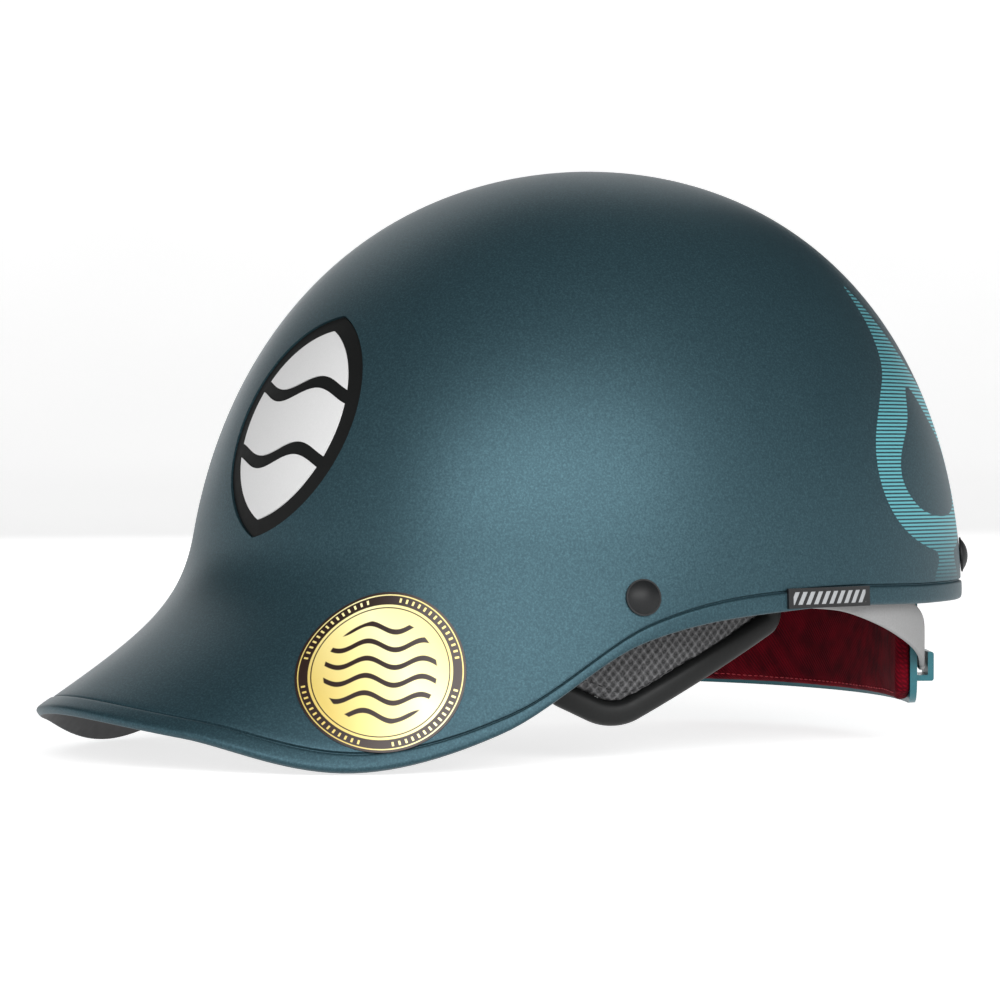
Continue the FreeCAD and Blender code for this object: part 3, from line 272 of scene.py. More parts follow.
class Finish:
    """A Principled material whose patterns read Object coordinates."""

    def __init__(self, name, rough=0.5, metal=0.0, gloss=0.5, sheen=0.0):
        self.material = bpy.data.materials.new(name)
        self.material.use_nodes = True
        self.tree = self.material.node_tree
        self.shader = self.tree.nodes["Principled BSDF"]
        self.set("Roughness", rough)
        self.set("Metallic", metal)
        self.set("Specular IOR Level", gloss)
        self.set("Sheen Weight", sheen)
        self.set("Sheen Roughness", 0.4)
        place = self.tree.nodes.new("ShaderNodeTexCoord")
        self.place = place.outputs["Object"]
        self.uv = place.outputs["UV"]
        self.last_bump = None

    def set(self, socket, value):
        self.shader.inputs[socket].default_value = value

    def link(self, a, b):
        self.tree.links.new(a, b)

    def mapped(self, scale=(1, 1, 1), turn=(0, 0, 0), move=(0, 0, 0), source=None):
        node = self.tree.nodes.new("ShaderNodeMapping")
        node.inputs["Scale"].default_value = scale
        node.inputs["Rotation"].default_value = [math.radians(t) for t in turn]
        node.inputs["Location"].default_value = move
        self.link(source or self.place, node.inputs["Vector"])
        return node.outputs["Vector"]

    def noise(self, scale, detail=2.0, rough=0.5):
        node = self.tree.nodes.new("ShaderNodeTexNoise")
        node.inputs["Scale"].default_value = scale
        node.inputs["Detail"].default_value = detail
        node.inputs["Roughness"].default_value = rough
        self.link(self.place, node.inputs["Vector"])
        return node.outputs["Fac"]

    def cells(self, scale, vector=None, random=1.0, feature="F1"):
        node = self.tree.nodes.new("ShaderNodeTexVoronoi")
        node.feature = feature
        node.inputs["Scale"].default_value = scale
        node.inputs["Randomness"].default_value = random
        self.link(vector or self.place, node.inputs["Vector"])
        return node.outputs["Distance"]

    def waves(self, scale, vector, distortion, direction):
        node = self.tree.nodes.new("ShaderNodeTexWave")
        node.wave_type = "BANDS"
        node.bands_direction = direction
        node.inputs["Scale"].default_value = scale
        node.inputs["Distortion"].default_value = distortion
        node.inputs["Detail"].default_value = 0.0
        self.link(vector, node.inputs["Vector"])
        return node.outputs["Fac"]

    def sum_of(self, operation, a, b=None):
        node = self.tree.nodes.new("ShaderNodeMath")
        node.operation = operation
        for socket, value in zip(node.inputs, (a, b)):
            if value is None:
                continue
            if isinstance(value, (int, float)):
                socket.default_value = value
            else:
                self.link(value, socket)
        return node.outputs[0]

    def axis(self, vector=None):
        node = self.tree.nodes.new("ShaderNodeSeparateXYZ")
        self.link(vector or self.place, node.inputs[0])
        return node.outputs

    def ramp(self, fac, stops):
        node = self.tree.nodes.new("ShaderNodeValToRGB")
        bar = node.color_ramp.elements
        while len(bar) < len(stops):
            bar.new(0.5)
        for element, (spot, colour) in zip(bar, stops):
            element.position = spot
            element.color = colour
        self.link(fac, node.inputs["Fac"])
        return node.outputs["Color"]

    def stripe(self, fac, low, high, soft):
        """White between low and high, black elsewhere, with edges as wide as soft."""
        return self.ramp(fac, ((0.0, BLACK), (low, BLACK), (low + soft, WHITE), (high, WHITE),
                               (high + soft, BLACK)))

    def below(self, fac, edge, soft):
        """White up to edge, black past it."""
        return self.ramp(fac, ((0.0, WHITE), (edge, WHITE), (edge + soft, BLACK)))

    def mix(self, fac, a, b, how="MIX"):
        node = self.tree.nodes.new("ShaderNodeMix")
        node.data_type = "RGBA"
        node.blend_type = how
        node.clamp_result = True
        if isinstance(fac, (int, float)):
            node.inputs[0].default_value = fac
        else:
            self.link(fac, node.inputs[0])
        for socket, value in ((node.inputs[6], a), (node.inputs[7], b)):
            if isinstance(value, tuple):
                socket.default_value = value
            else:
                self.link(value, socket)
        return node.outputs[2]

    def colour(self, value):
        self.link(value, self.shader.inputs["Base Color"])

    def rough(self, fac, low, high):
        node = self.tree.nodes.new("ShaderNodeMapRange")
        node.inputs["To Min"].default_value = low
        node.inputs["To Max"].default_value = high
        self.link(fac, node.inputs["Value"])
        self.link(node.outputs["Result"], self.shader.inputs["Roughness"])

    def bump(self, height, depth_mm, strength=1.0):
        node = self.tree.nodes.new("ShaderNodeBump")
        node.inputs["Strength"].default_value = strength
        node.inputs["Distance"].default_value = depth_mm * MM
        self.link(height, node.inputs["Height"])
        if self.last_bump:
            self.link(self.last_bump, node.inputs["Normal"])
        self.last_bump = node.outputs["Normal"]
        self.link(self.last_bump, self.shader.inputs["Normal"])


def tinted(finish, base, spread, scale):
    """Base colour with a fine lighter and darker mottle."""
    low = tuple(c * (1 - spread) for c in base[:3]) + (1.0,)
    high = tuple(min(c * (1 + spread), 1.0) for c in base[:3]) + (1.0,)
    finish.colour(finish.ramp(finish.noise(scale, 3.0), ((0.3, low), (0.7, high))))


STRIPE_PITCH = 1.25                    # lines of the rear graphic
MESH_ALONG, MESH_UP = 3.0, 3.6         # holes of the ear mesh
PLATE_BAR_PITCH = 3.3


def shell_paint():
    f = Finish("satin_teal_paint", rough=0.5, gloss=0.2, metal=0.55)
    speck = f.ramp(f.noise(1500, 2.0, 0.7), ((0.34, srgb(46, 68, 76)), (0.5, srgb(51, 75, 83)),
                                            (0.68, srgb(61, 88, 96))))
    cloud = f.ramp(f.noise(9, 3.0), ((0.3, srgb(235, 238, 240)), (0.7, srgb(255, 255, 255))))
    base = f.mix(1.0, speck, cloud, "MULTIPLY")
    mask = f.tree.nodes.new("ShaderNodeAttribute")
    mask.attribute_name = "stripe_field"
    inside = f.ramp(f.sum_of("MULTIPLY_ADD", mask.outputs["Fac"], 0.5), ((0.49, BLACK), (0.53, WHITE)))
    tilt = f.axis(f.mapped(turn=(0, 2, 0)))[2]
    lines = f.sum_of("FRACT", f.sum_of("MULTIPLY", tilt, 1 / (STRIPE_PITCH * MM)))
    line = f.ramp(lines, ((0.0, BLACK), (0.06, WHITE), (0.54, WHITE), (0.62, BLACK)))
    height = f.axis()[2]
    fade = f.ramp(f.sum_of("MULTIPLY", height, 10.0),
                  ((0.06, BLACK), (0.26, (0.75, 0.75, 0.75, 1.0)), (0.6, WHITE),
                   (1.0, (0.8, 0.8, 0.8, 1.0))))
    shown = f.mix(1.0, f.mix(1.0, inside, line, "MULTIPLY"), fade, "MULTIPLY")
    f.colour(f.mix(shown, base, srgb(112, 196, 206)))
    f.rough(f.noise(1800, 2.0), 0.4, 0.5)
    f.bump(f.noise(1300, 2.0, 0.6), 0.012, 0.5)
    f.bump(f.noise(70, 2.0), 0.02, 0.3)
    return f.material


def moulded(name, colour, rough=0.5, grain=0.02, scale=1600, spread=0.1, gloss=0.5, metal=0.0):
    f = Finish(name, rough=rough, gloss=gloss, metal=metal)
    tinted(f, colour, spread, scale)
    f.rough(f.noise(300, 3.0), max(rough - 0.07, 0.02), rough + 0.08)
    f.bump(f.cells(scale * 0.8, random=1.0), grain, 0.5)
    return f.material


def knit(name, colour, dark, pitch=0.9, sheen=0.3, depth=0.12, gloss=0.25):
    """Fine knitted or brushed fabric with crossing yarns."""
    f = Finish(name, rough=0.85, gloss=gloss, sheen=sheen)
    one = f.waves(math.pi * 2 / (pitch * MM) / 20, f.mapped(turn=(35, 45, 10)), 0.6, "X")
    two = f.waves(math.pi * 2 / (pitch * MM) / 20, f.mapped(turn=(-35, -45, 20)), 0.6, "Z")
    weave = f.sum_of("MULTIPLY", one, two)
    tone = f.ramp(weave, ((0.05, dark), (0.6, colour)))
    f.colour(f.mix(0.5, tone, f.ramp(f.noise(120, 4.0), ((0.3, dark), (0.7, colour)))))
    f.bump(weave, depth, 0.7)
    f.bump(f.noise(2200, 2.0), 0.05, 0.4)
    return f.material


def spacer_mesh():
    f = Finish("ear_spacer_mesh", rough=0.7, gloss=0.45, sheen=0.1)
    lattice = f.mapped((0.0001, 1 / (MESH_ALONG * MM), 1 / (MESH_UP * MM)))
    turned = f.mapped(turn=(45, 0, 0), source=lattice)
    holes = f.cells(1.4142, turned, random=0.12)
    tone = f.ramp(holes, ((0.12, srgb(16, 16, 17)), (0.34, srgb(46, 46, 47)), (0.5, srgb(92, 92, 93)),
                          (0.66, srgb(120, 120, 121))))
    f.colour(f.mix(0.35, tone, f.ramp(f.noise(1600, 2.0), ((0.35, srgb(20, 20, 21)),
                                                          (0.68, srgb(110, 110, 112))))))
    f.bump(holes, 0.9, 1.0)
    f.bump(f.noise(2600, 2.0), 0.06, 0.5)
    return f.material


def bead_foam():
    f = Finish("bead_foam_liner", rough=0.75, gloss=0.3)
    beads = f.cells(330, random=0.9)
    edges = f.cells(330, random=0.9, feature="DISTANCE_TO_EDGE")
    f.colour(f.mix(0.6, f.ramp(beads, ((0.1, srgb(78, 80, 84)), (0.7, srgb(54, 55, 58)))),
                   f.ramp(edges, ((0.0, srgb(24, 24, 26)), (0.08, srgb(70, 71, 75))))))
    f.bump(f.ramp(edges, ((0.0, BLACK), (0.12, WHITE))), 0.25, 0.8)
    return f.material


def webbing(name, colour, dark):
    """Woven tape with crossing yarns."""
    f = Finish(name, rough=0.7, gloss=0.35, sheen=0.15)
    x, y, z = f.axis()
    rows = f.sum_of("SINE", f.sum_of("MULTIPLY", f.sum_of("ADD", z, x), 2 * math.pi / (1.5 * MM)))
    ends = f.sum_of("SINE", f.sum_of("MULTIPLY", y, 2 * math.pi / (1.2 * MM)))
    woven = f.sum_of("MULTIPLY_ADD", f.sum_of("MULTIPLY", rows, ends), 0.5)
    f.colour(f.ramp(woven, ((0.2, dark), (0.75, colour))))
    f.bump(woven, 0.16, 0.8)
    f.bump(f.noise(1800, 2.0), 0.04, 0.4)
    return f.material


def label_finish():
    """Round foil label: a dark outer ring with ticks, and a gold middle with wave lines."""
    f = Finish("gold_foil_label", rough=0.34, gloss=0.5, metal=0.15)
    centred = f.mapped(move=(-0.5, -0.5, 0), source=f.uv)
    x, y = f.axis(centred)[0:2]
    radius = f.sum_of("MULTIPLY", f.sum_of("POWER", f.sum_of(
        "ADD", f.sum_of("MULTIPLY", x, x), f.sum_of("MULTIPLY", y, y)), 0.5), 2.0)
    turn = f.sum_of("DIVIDE", f.sum_of("ARCTAN2", y, x), 2 * math.pi)
    gold = f.ramp(f.sum_of("ADD", f.sum_of("MULTIPLY", x, 0.8), f.sum_of("MULTIPLY_ADD", y, 0.5)),
                  ((0.15, srgb(214, 190, 108)), (0.4, srgb(238, 222, 150)), (0.62, srgb(252, 243, 184)),
                   (0.9, srgb(226, 205, 124))))
    brown = srgb(44, 30, 26)
    disc = f.below(radius, 0.845, 0.005)
    thin = f.stripe(radius, 0.955, 0.968, 0.005)
    inner = f.stripe(radius, 0.80, 0.815, 0.005)
    ticks = f.stripe(f.sum_of("FRACT", f.sum_of("MULTIPLY", turn, 72.0)), 0.3, 0.62, 0.04)
    band = f.stripe(radius, 0.88, 0.93, 0.005)
    quarter = f.stripe(f.sum_of("FRACT", f.sum_of("MULTIPLY", turn, 4.0)), 0.12, 0.87, 0.01)
    ring_marks = f.mix(1.0, f.mix(1.0, ticks, band, "MULTIPLY"), quarter, "MULTIPLY")
    swell = f.sum_of("MULTIPLY", f.sum_of("SINE", f.sum_of("MULTIPLY", x, 19.0)), 0.03)
    level = f.sum_of("ADD", y, swell)
    wave = f.stripe(f.sum_of("FRACT", f.sum_of("MULTIPLY", level, 9.0)), 0.36, 0.66, 0.04)
    waves = f.mix(1.0, wave, f.below(radius, 0.66, 0.01), "MULTIPLY")
    marks = f.mix(1.0, inner, waves, "LIGHTEN")
    middle = f.mix(marks, gold, brown)
    edge = f.mix(f.mix(1.0, ring_marks, thin, "LIGHTEN"), brown, gold)
    f.colour(f.mix(disc, edge, middle))
    f.bump(f.noise(900, 2.0), 0.01, 0.4)
    return f.material


def plate_finish():
    """Black name plate with plain slanted silver bars in a narrow band along its middle."""
    f = Finish("slanted_bar_plate", rough=0.35, gloss=0.5)
    y, z = f.axis()[1:3]
    slant = f.sum_of("ADD", y, f.sum_of("MULTIPLY", z, -0.55))
    bars = f.stripe(f.sum_of("FRACT", f.sum_of("MULTIPLY", slant, 1 / (PLATE_BAR_PITCH * MM))),
                    0.2, 0.74, 0.04)
    low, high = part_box("rim_plate_left")
    mid = f.sum_of("ABSOLUTE", f.sum_of("SUBTRACT", z, (low.z + high.z) / 2))
    rows = f.below(f.sum_of("MULTIPLY", mid, 100.0), 0.2, 0.015)
    ends = f.sum_of("ABSOLUTE", f.sum_of("SUBTRACT", y, (low.y + high.y) / 2))
    half = (high.y - low.y) / 2
    cut = f.below(f.sum_of("MULTIPLY", ends, 10.0), (half - 2.2 * MM) * 10, 2 * MM)
    shown = f.mix(1.0, f.mix(1.0, bars, rows, "MULTIPLY"), cut, "MULTIPLY")
    f.colour(f.mix(shown, srgb(12, 13, 15), srgb(150, 152, 154)))
    f.bump(shown, 0.15, 0.8)
    return f.material


FINISH = {
    "shell_teal": shell_paint(),
    "shell_inside": moulded("raw_shell_inside", srgb(22, 23, 25), 0.55, 0.03, 500),
    "badge_black": moulded("badge_black_rubber", srgb(14, 15, 15), 0.6, 0.015, gloss=0.2),
    "badge_white": moulded("badge_white_plastic", srgb(205, 205, 205), 0.5, 0.008, spread=0.02, gloss=0.3),
    "label_gold": label_finish(),
    "plate_black": plate_finish(),
    "rivet_black": moulded("rivet_satin_black", srgb(24, 25, 26), 0.48, 0.01, gloss=0.25),
    "washer_steel": moulded("washer_steel", srgb(170, 172, 174), 0.35, 0.005, metal=1.0),
    "liner_foam": bead_foam(),
    "pad_fabric": knit("comfort_pad_knit", srgb(74, 76, 79), srgb(34, 34, 37)),
    "ear_mesh": spacer_mesh(),
    "ear_piping": moulded("ear_piping_skin", srgb(22, 23, 23), 0.46, 0.012, 900, gloss=0.24),
    "patch_loop": knit("loop_pile", srgb(50, 50, 52), srgb(18, 18, 19), 0.6, 0.5, 0.3),
    "cradle_teal": moulded("cradle_teal_plastic", srgb(8, 88, 98), 0.35, 0.01, gloss=0.5),
    "neck_red": knit("neck_pad_red_knit", srgb(112, 3, 22), srgb(44, 1, 8), 1.0, 0.0, 0.15, 0.08),
    "bracket_black": moulded("bracket_black_nylon", srgb(24, 25, 26), 0.5, 0.02),
    "pin_steel": moulded("pin_steel", srgb(176, 178, 180), 0.25, 0.004, metal=1.0),
    "strap_grey": moulded("strap_grey_rubber", srgb(140, 140, 140), 0.6, 0.015, spread=0.05, gloss=0.3),
    "webbing_black": webbing("chin_webbing_weave", srgb(52, 52, 55), srgb(16, 16, 18)),
    "buckle_black": moulded("buckle_black_acetal", srgb(26, 27, 28), 0.38, 0.01),
}
for entry in frame["record"]["subparts"]:
    node = cad[entry["node"]]
    if entry["material_slot"] in FINISH:
        node.data.materials.clear()
        node.data.materials.append(FINISH[entry["material_slot"]])

# ------------------------------------------------------------------ the shell
MERIDIANS = 300
DOME_ROWS, FLARE_ROWS = 62, 44
INNER_DOME_ROWS, INNER_FLARE_ROWS = 34, 24
TARGET_ROWS = 150
DROP_PHI = 133.0                       # middle of the rear graphic, on each side
DROP_MM_PER_DEGREE, DROP_STRETCH = 2.0, 1.04
phis = np.arange(MERIDIANS) * 2 * math.pi / MERIDIANS - math.pi


def stripe_field(points):
    """Signed distance, in millimetres, into the looped drop at the back, positive inside."""
    phi = np.degrees(np.arctan2(np.abs(points[:, 0]) / HALF_WIDTH, -points[:, 1] / BACK_REACH))
    x, y = (phi - DROP_PHI) * DROP_MM_PER_DEGREE, points[:, 2] * DROP_STRETCH

    def inside_of(outline):
        best = np.full(len(x), 1e9)
        within = np.zeros(len(x), bool)
        for (ax, ay), (bx, by) in zip(outline, outline[1:] + outline[:1]):
            dx, dy = bx - ax, by - ay
            t = np.clip(((x - ax) * dx + (y - ay) * dy) / (dx * dx + dy * dy), 0, 1)
            best = np.minimum(best, np.hypot(x - ax - t * dx, y - ay - t * dy))
            hit = ((ay > y) != (by > y)) & (x < (bx - ax) * (y - ay) / (by - ay + 1e-12) + ax)
            within ^= hit
        return np.where(within, best, -best)

    def rounded(corners, steps=8):
        out = []
        n = len(corners)
        for i in range(n):
            p0, p1, p2, p3 = (np.array(corners[(i + k) % n], float) for k in (-1, 0, 1, 2))
            for k in range(steps):
                t = k / steps
                q = 0.5 * (2 * p1 + (p2 - p0) * t + (2 * p0 - 5 * p1 + 4 * p2 - p3) * t * t
                           + (3 * p1 - p0 - 3 * p2 + p3) * t ** 3)
                out.append(tuple(q))
        return out

    drop = rounded([(-1, 113), (6, 97), (13, 84), (24, 72), (33, 58), (35, 44), (30, 31), (18, 22),
                    (-1, 18), (-20, 22), (-32, 31), (-37, 44), (-35, 58), (-26, 72), (-15, 84), (-8, 97)])
    hole = rounded([(-1, 77), (-12, 65), (-23, 53), (-25, 43), (-17, 34), (-1, 31), (15, 34), (23, 43),
                    (21, 53), (10, 65)])
    stem = rounded([(-10, 24), (-9, 16), (-12, 8), (10, 8), (7, 16), (8, 24)])
    ring = np.minimum(inside_of(drop), -inside_of(hole))
    return np.maximum(ring, inside_of(stem))


def build_shell():
    rows = []
    top = above_rim(phis, BEAD_PROFILE[0][0])
    for i in range(1, DOME_ROWS):
        rows.append(outside(phis, DOME_SHARE * i / DOME_ROWS))
    for i in range(FLARE_ROWS):
        rows.append(outside(phis, DOME_SHARE + (top - DOME_SHARE) * i / FLARE_ROWS))
    for distance, lift in BEAD_PROFILE:
        rows.append(on_shell(phis, above_rim(phis, distance), lift + 0 * phis))
    outer = len(rows)
    low_edge = above_rim(phis, 0.6)
    for i in range(INNER_FLARE_ROWS, -1, -1):
        rows.append(on_shell(phis, DOME_SHARE + (low_edge - DOME_SHARE) * i / INNER_FLARE_ROWS,
                             -SHELL_WALL + 0 * phis))
    for i in range(INNER_DOME_ROWS - 1, 0, -1):
        rows.append(on_shell(phis, DOME_SHARE * i / INNER_DOME_ROWS + 0 * phis,
                             -SHELL_WALL + 0 * phis))
    points = np.concatenate(rows)
    count = len(rows)
    faces = [face[::-1] for face in grid_faces(count, MERIDIANS, True)]
    crown = len(points)
    points = np.vstack([points, outside(0.0, 0.0), outside(0.0, 0.0) - [0, 0, SHELL_WALL]])
    last = (count - 1) * MERIDIANS
    for c in range(MERIDIANS):
        d = (c + 1) % MERIDIANS
        faces.append((crown, c, d)[::-1])
        faces.append((crown + 1, last + d, last + c)[::-1])
    shell = piece("shell", points, faces, FINISH["shell_teal"])
    shell.data.materials.append(FINISH["shell_inside"])
    inner = (outer - 1) * MERIDIANS
    for face in shell.data.polygons:
        face.material_index = 1 if min(face.vertices) >= inner and crown not in face.vertices else 0
    return shell


def surface_tree(lift):
    """Ray target: the outside surface moved by lift, without the bead."""
    phi, s = np.meshgrid(phis, np.linspace(0.02, 1.0, TARGET_ROWS))
    points = on_shell(phi, s, lift + 0 * phi).reshape(-1, 3)
    return BVHTree.FromPolygons(points.tolist(), grid_faces(TARGET_ROWS, MERIDIANS, True))


def drape(seat, flat, tree, start=18.0):
    """Drops flat (round, up) points along a seat's normal onto a surface."""
    origin, normal, across, up = seat
    out = []
    for a, b in flat:
        high = origin + across * a + up * b + normal * start
        hit = tree.ray_cast(Vector(high), Vector(-normal))[0]
        out.append(np.array(hit) if hit else high - normal * start)
    return np.array(out)


BADGE_PHI, BADGE_Z = 7.5, 63.0
BADGE_LONG, BADGE_WIDE, BADGE_LEAN = 79.0, 60.0, 5.5
BADGE_GAP, BADGE_RECESS = 0.5, 1.7


def leaf(grow, count=120):
    """Leaning leaf of two arcs, grown outwards, as points round it."""
    half_l = BADGE_LONG / 2
    lean = half_l * math.sin(math.radians(BADGE_LEAN))
    tip, foot = np.array([lean, half_l]), np.array([-lean, -half_l])
    out = []
    for start, side, end in ((tip, np.array([BADGE_WIDE / 2, 0.0]), foot),
                             (foot, np.array([-BADGE_WIDE / 2, 0.0]), tip)):
        a, b = side - start, end - start
        cross = 2 * (a[0] * b[1] - a[1] * b[0])
        ux = (b[1] * (a @ a) - a[1] * (b @ b)) / cross
        uy = (a[0] * (b @ b) - b[0] * (a @ a)) / cross
        centre = start + np.array([ux, uy])
        radius = math.hypot(ux, uy)
        first = math.atan2(*(start - centre)[::-1])
        last = math.atan2(*(end - centre)[::-1])
        while last > first:
            last -= 2 * math.pi
        for i in range(count // 2):
            k = first + (last - first) * i / (count // 2)
            out.append(centre + (radius + grow) * np.array([math.cos(k), math.sin(k)]))
    return np.array(out)


def cut_badge_pocket(shell):
    seat = seat_at(BADGE_PHI, at_height(math.radians(BADGE_PHI), BADGE_Z))
    edge = leaf(BADGE_GAP)
    rings = 14
    flat = [tuple(edge[i] * r / rings) for r in range(rings, 0, -1) for i in range(len(edge))]
    floor = drape(seat, flat + [(0.0, 0.0)], surface_tree(-BADGE_RECESS))
    n = len(edge)
    roof = drape(seat, [tuple(e) for e in edge] + [(0.0, 0.0)], surface_tree(0.0)) + seat[1] * 4.0
    points = np.vstack([roof[:n], floor, roof[n:]])
    faces = []
    for i in range(n):
        j = (i + 1) % n
        faces.append((i, j, n + j, n + i))
        faces.append((len(points) - 1, j, i))
        for r in range(rings - 1):
            a, b = n + r * n, n + (r + 1) * n
            faces.append((a + i, a + j, b + j, b + i))
        a = n + (rings - 1) * n
        faces.append((a + i, a + j, n + rings * n))
    cutter = piece("pocket_cutter", points, faces, body=None)
    face_out(cutter.data)
    cut = shell.modifiers.new("pocket", "BOOLEAN")
    cut.operation = "DIFFERENCE"
    cut.solver = "EXACT"
    cut.object = cutter
    settle(shell)
    bpy.data.objects.remove(cutter)


shell = build_shell()
cut_badge_pocket(shell)
shell.data.set_sharp_from_angle(angle=math.radians(38))
field = shell.data.attributes.new("stripe_field", "FLOAT", "POINT")
spots = np.zeros(len(shell.data.vertices) * 3)
shell.data.vertices.foreach_get("co", spots)
spots = spots.reshape(-1, 3) / MM
values = stripe_field(spots)
values[spots[:, 1] < 0] = -20
field.data.foreach_set("value", np.clip(values * 0.5, -8, 8).astype(np.float32))
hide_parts("outer_shell")


# ------------------------------------------------------------------ label
LABEL_PHI, LABEL_S, LABEL_R = 40.5, 0.848, 27.5
LABEL_BACK, LABEL_FACE = 0.1, 0.42     # above the shell


def build_label():
    seat = seat_at(LABEL_PHI, LABEL_S)
    rings, n = 20, 128
    flat = [(LABEL_R * r / rings * math.cos(2 * math.pi * i / n),
             LABEL_R * r / rings * math.sin(2 * math.pi * i / n))
            for r in range(rings, 0, -1) for i in range(n)]
    face = drape(seat, flat + [(0.0, 0.0)], surface_tree(LABEL_FACE))
    under = drape(seat, flat[:n], surface_tree(LABEL_BACK))
    points = np.vstack([under, face])
    faces = []
    for i in range(n):
        j = (i + 1) % n
        faces.append((i, j, n + j, n + i))
        for r in range(rings - 1):
            a, b = n + r * n, n + (r + 1) * n
            faces.append((a + i, a + j, b + j, b + i))
        a = n + (rings - 1) * n
        faces.append((a + i, a + j, n + rings * n))
    label = piece("round_foil_label", points, faces, FINISH["label_gold"], sharp=50)
    flat_all = flat[:n] + flat + [(0.0, 0.0)]
    layer = label.data.uv_layers.new(name="face")
    for loop in label.data.loops:
        a, b = flat_all[loop.vertex_index]
        layer.data[loop.index].uv = (0.5 + a / LABEL_R / 2, 0.5 + b / LABEL_R / 2)
    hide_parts("round_label")


build_label()

# ------------------------------------------------------------------ stuffed pads
def stuff(node, name, finish, body, voxel, slack=0.5, cap=1.1):
    """A pad grown from its solid by a short pressure simulation, then rounded."""
    pad = copy_of(node, name)
    template = copy_of(node, name + "_template")
    even = pad.modifiers.new("even", "REMESH")
    even.mode = "VOXEL"
    even.voxel_size = voxel * MM
    settle(pad)
    soften = pad.modifiers.new("soften", "SMOOTH")
    soften.factor, soften.iterations = 0.5, 4
    hug = pad.modifiers.new("hug", "SHRINKWRAP")
    hug.target = template
    hug.wrap_method = "NEAREST_SURFACEPOINT"
    settle(pad)
    again = pad.modifiers.new("soften", "SMOOTH")
    again.factor, again.iterations = 0.5, 2
    settle(pad)
    bpy.data.objects.remove(template)
    count = len(pad.data.vertices)
    start = np.zeros(count * 3)
    pad.data.vertices.foreach_get("co", start)
    start = start.reshape(-1, 3)
    out = np.zeros(count * 3)
    pad.data.vertex_normals.foreach_get("vector", out)
    start -= out.reshape(-1, 3) * slack * MM
    pad.data.vertices.foreach_set("co", start.ravel())
    cloth = pad.modifiers.new("swell", "CLOTH")
    cloth.settings.quality = 5
    cloth.settings.mass = 0.3
    cloth.settings.tension_stiffness = cloth.settings.compression_stiffness = 15
    cloth.settings.shear_stiffness = 8
    cloth.settings.bending_stiffness = 0.5
    cloth.settings.use_pressure = True
    cloth.settings.uniform_pressure_force = 4
    cloth.settings.effector_weights.gravity = 0
    for tick in range(1, 21):
        bpy.context.scene.frame_set(tick)
    swollen = pad.evaluated_get(bpy.context.evaluated_depsgraph_get()).to_mesh()
    end = np.zeros(count * 3)
    swollen.vertices.foreach_get("co", end)
    pad.modifiers.clear()
    bpy.context.scene.frame_set(1)
    move = end.reshape(-1, 3) - start
    far = np.linalg.norm(move, axis=1, keepdims=True)
    move *= np.minimum(1.0, cap * MM / np.maximum(far, 1e-9))
    pad.data.vertices.foreach_set("co", (start + move).ravel())
    finer = pad.modifiers.new("finer", "SUBSURF")
    finer.levels = finer.render_levels = 1
    settle(pad)
    for face in pad.data.polygons:
        face.use_smooth = True
    pad.data.materials.clear()
    pad.data.materials.append(FINISH[finish])
    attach(pad, body)
    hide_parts(node)


stuff("front_pad", "brow_pad", "pad_fabric", "helmet", 3.2)
stuff("rear_pad", "back_pad", "pad_fabric", "helmet", 3.2)
stuff("crown_pad", "top_pad", "pad_fabric", "helmet", 3.2)
for side in ("left", "right"):
    stuff("side_pad_" + side, "temple_pad_" + side, "pad_fabric", "helmet", 3.0)
    stuff("ear_pad_" + side, "ear_panel_" + side, "ear_mesh", "ear_" + side, 2.2, 0.4, 0.8)
stuff("neck_pad", "neck_cushion", "neck_red", "cradle", 2.2, 0.4, 0.7)


# ------------------------------------------------------------------ ear pad edging
def plan_edge(phi, set_in):
    edge = dome(phi, math.pi / 2 + 0 * phi)
    along = dome(phi + 2e-3, math.pi / 2 + 0 * phi) - dome(phi - 2e-3, math.pi / 2 + 0 * phi)
    along /= np.linalg.norm(along, axis=-1, keepdims=True)
    return edge[..., :2] - np.stack([along[..., 1], -along[..., 0]], -1) * set_in


EAR_SET_IN, EAR_WALL = 29.2, 8.0
OUTLINE_PITCH = 1.2
EDGING_SET_IN, EDGING_HALF_WIDE, EDGING_HALF_THICK = 4.55, 4.2, 3.75
EAR_CORNERS = ((-62, -27, 10), (-36, -40, 20), (31, -6, 9), (27, 10, 8), (14, 21, 8), (-16, 21, 6),
               (-26, 13, 6), (-50, 10, 12))


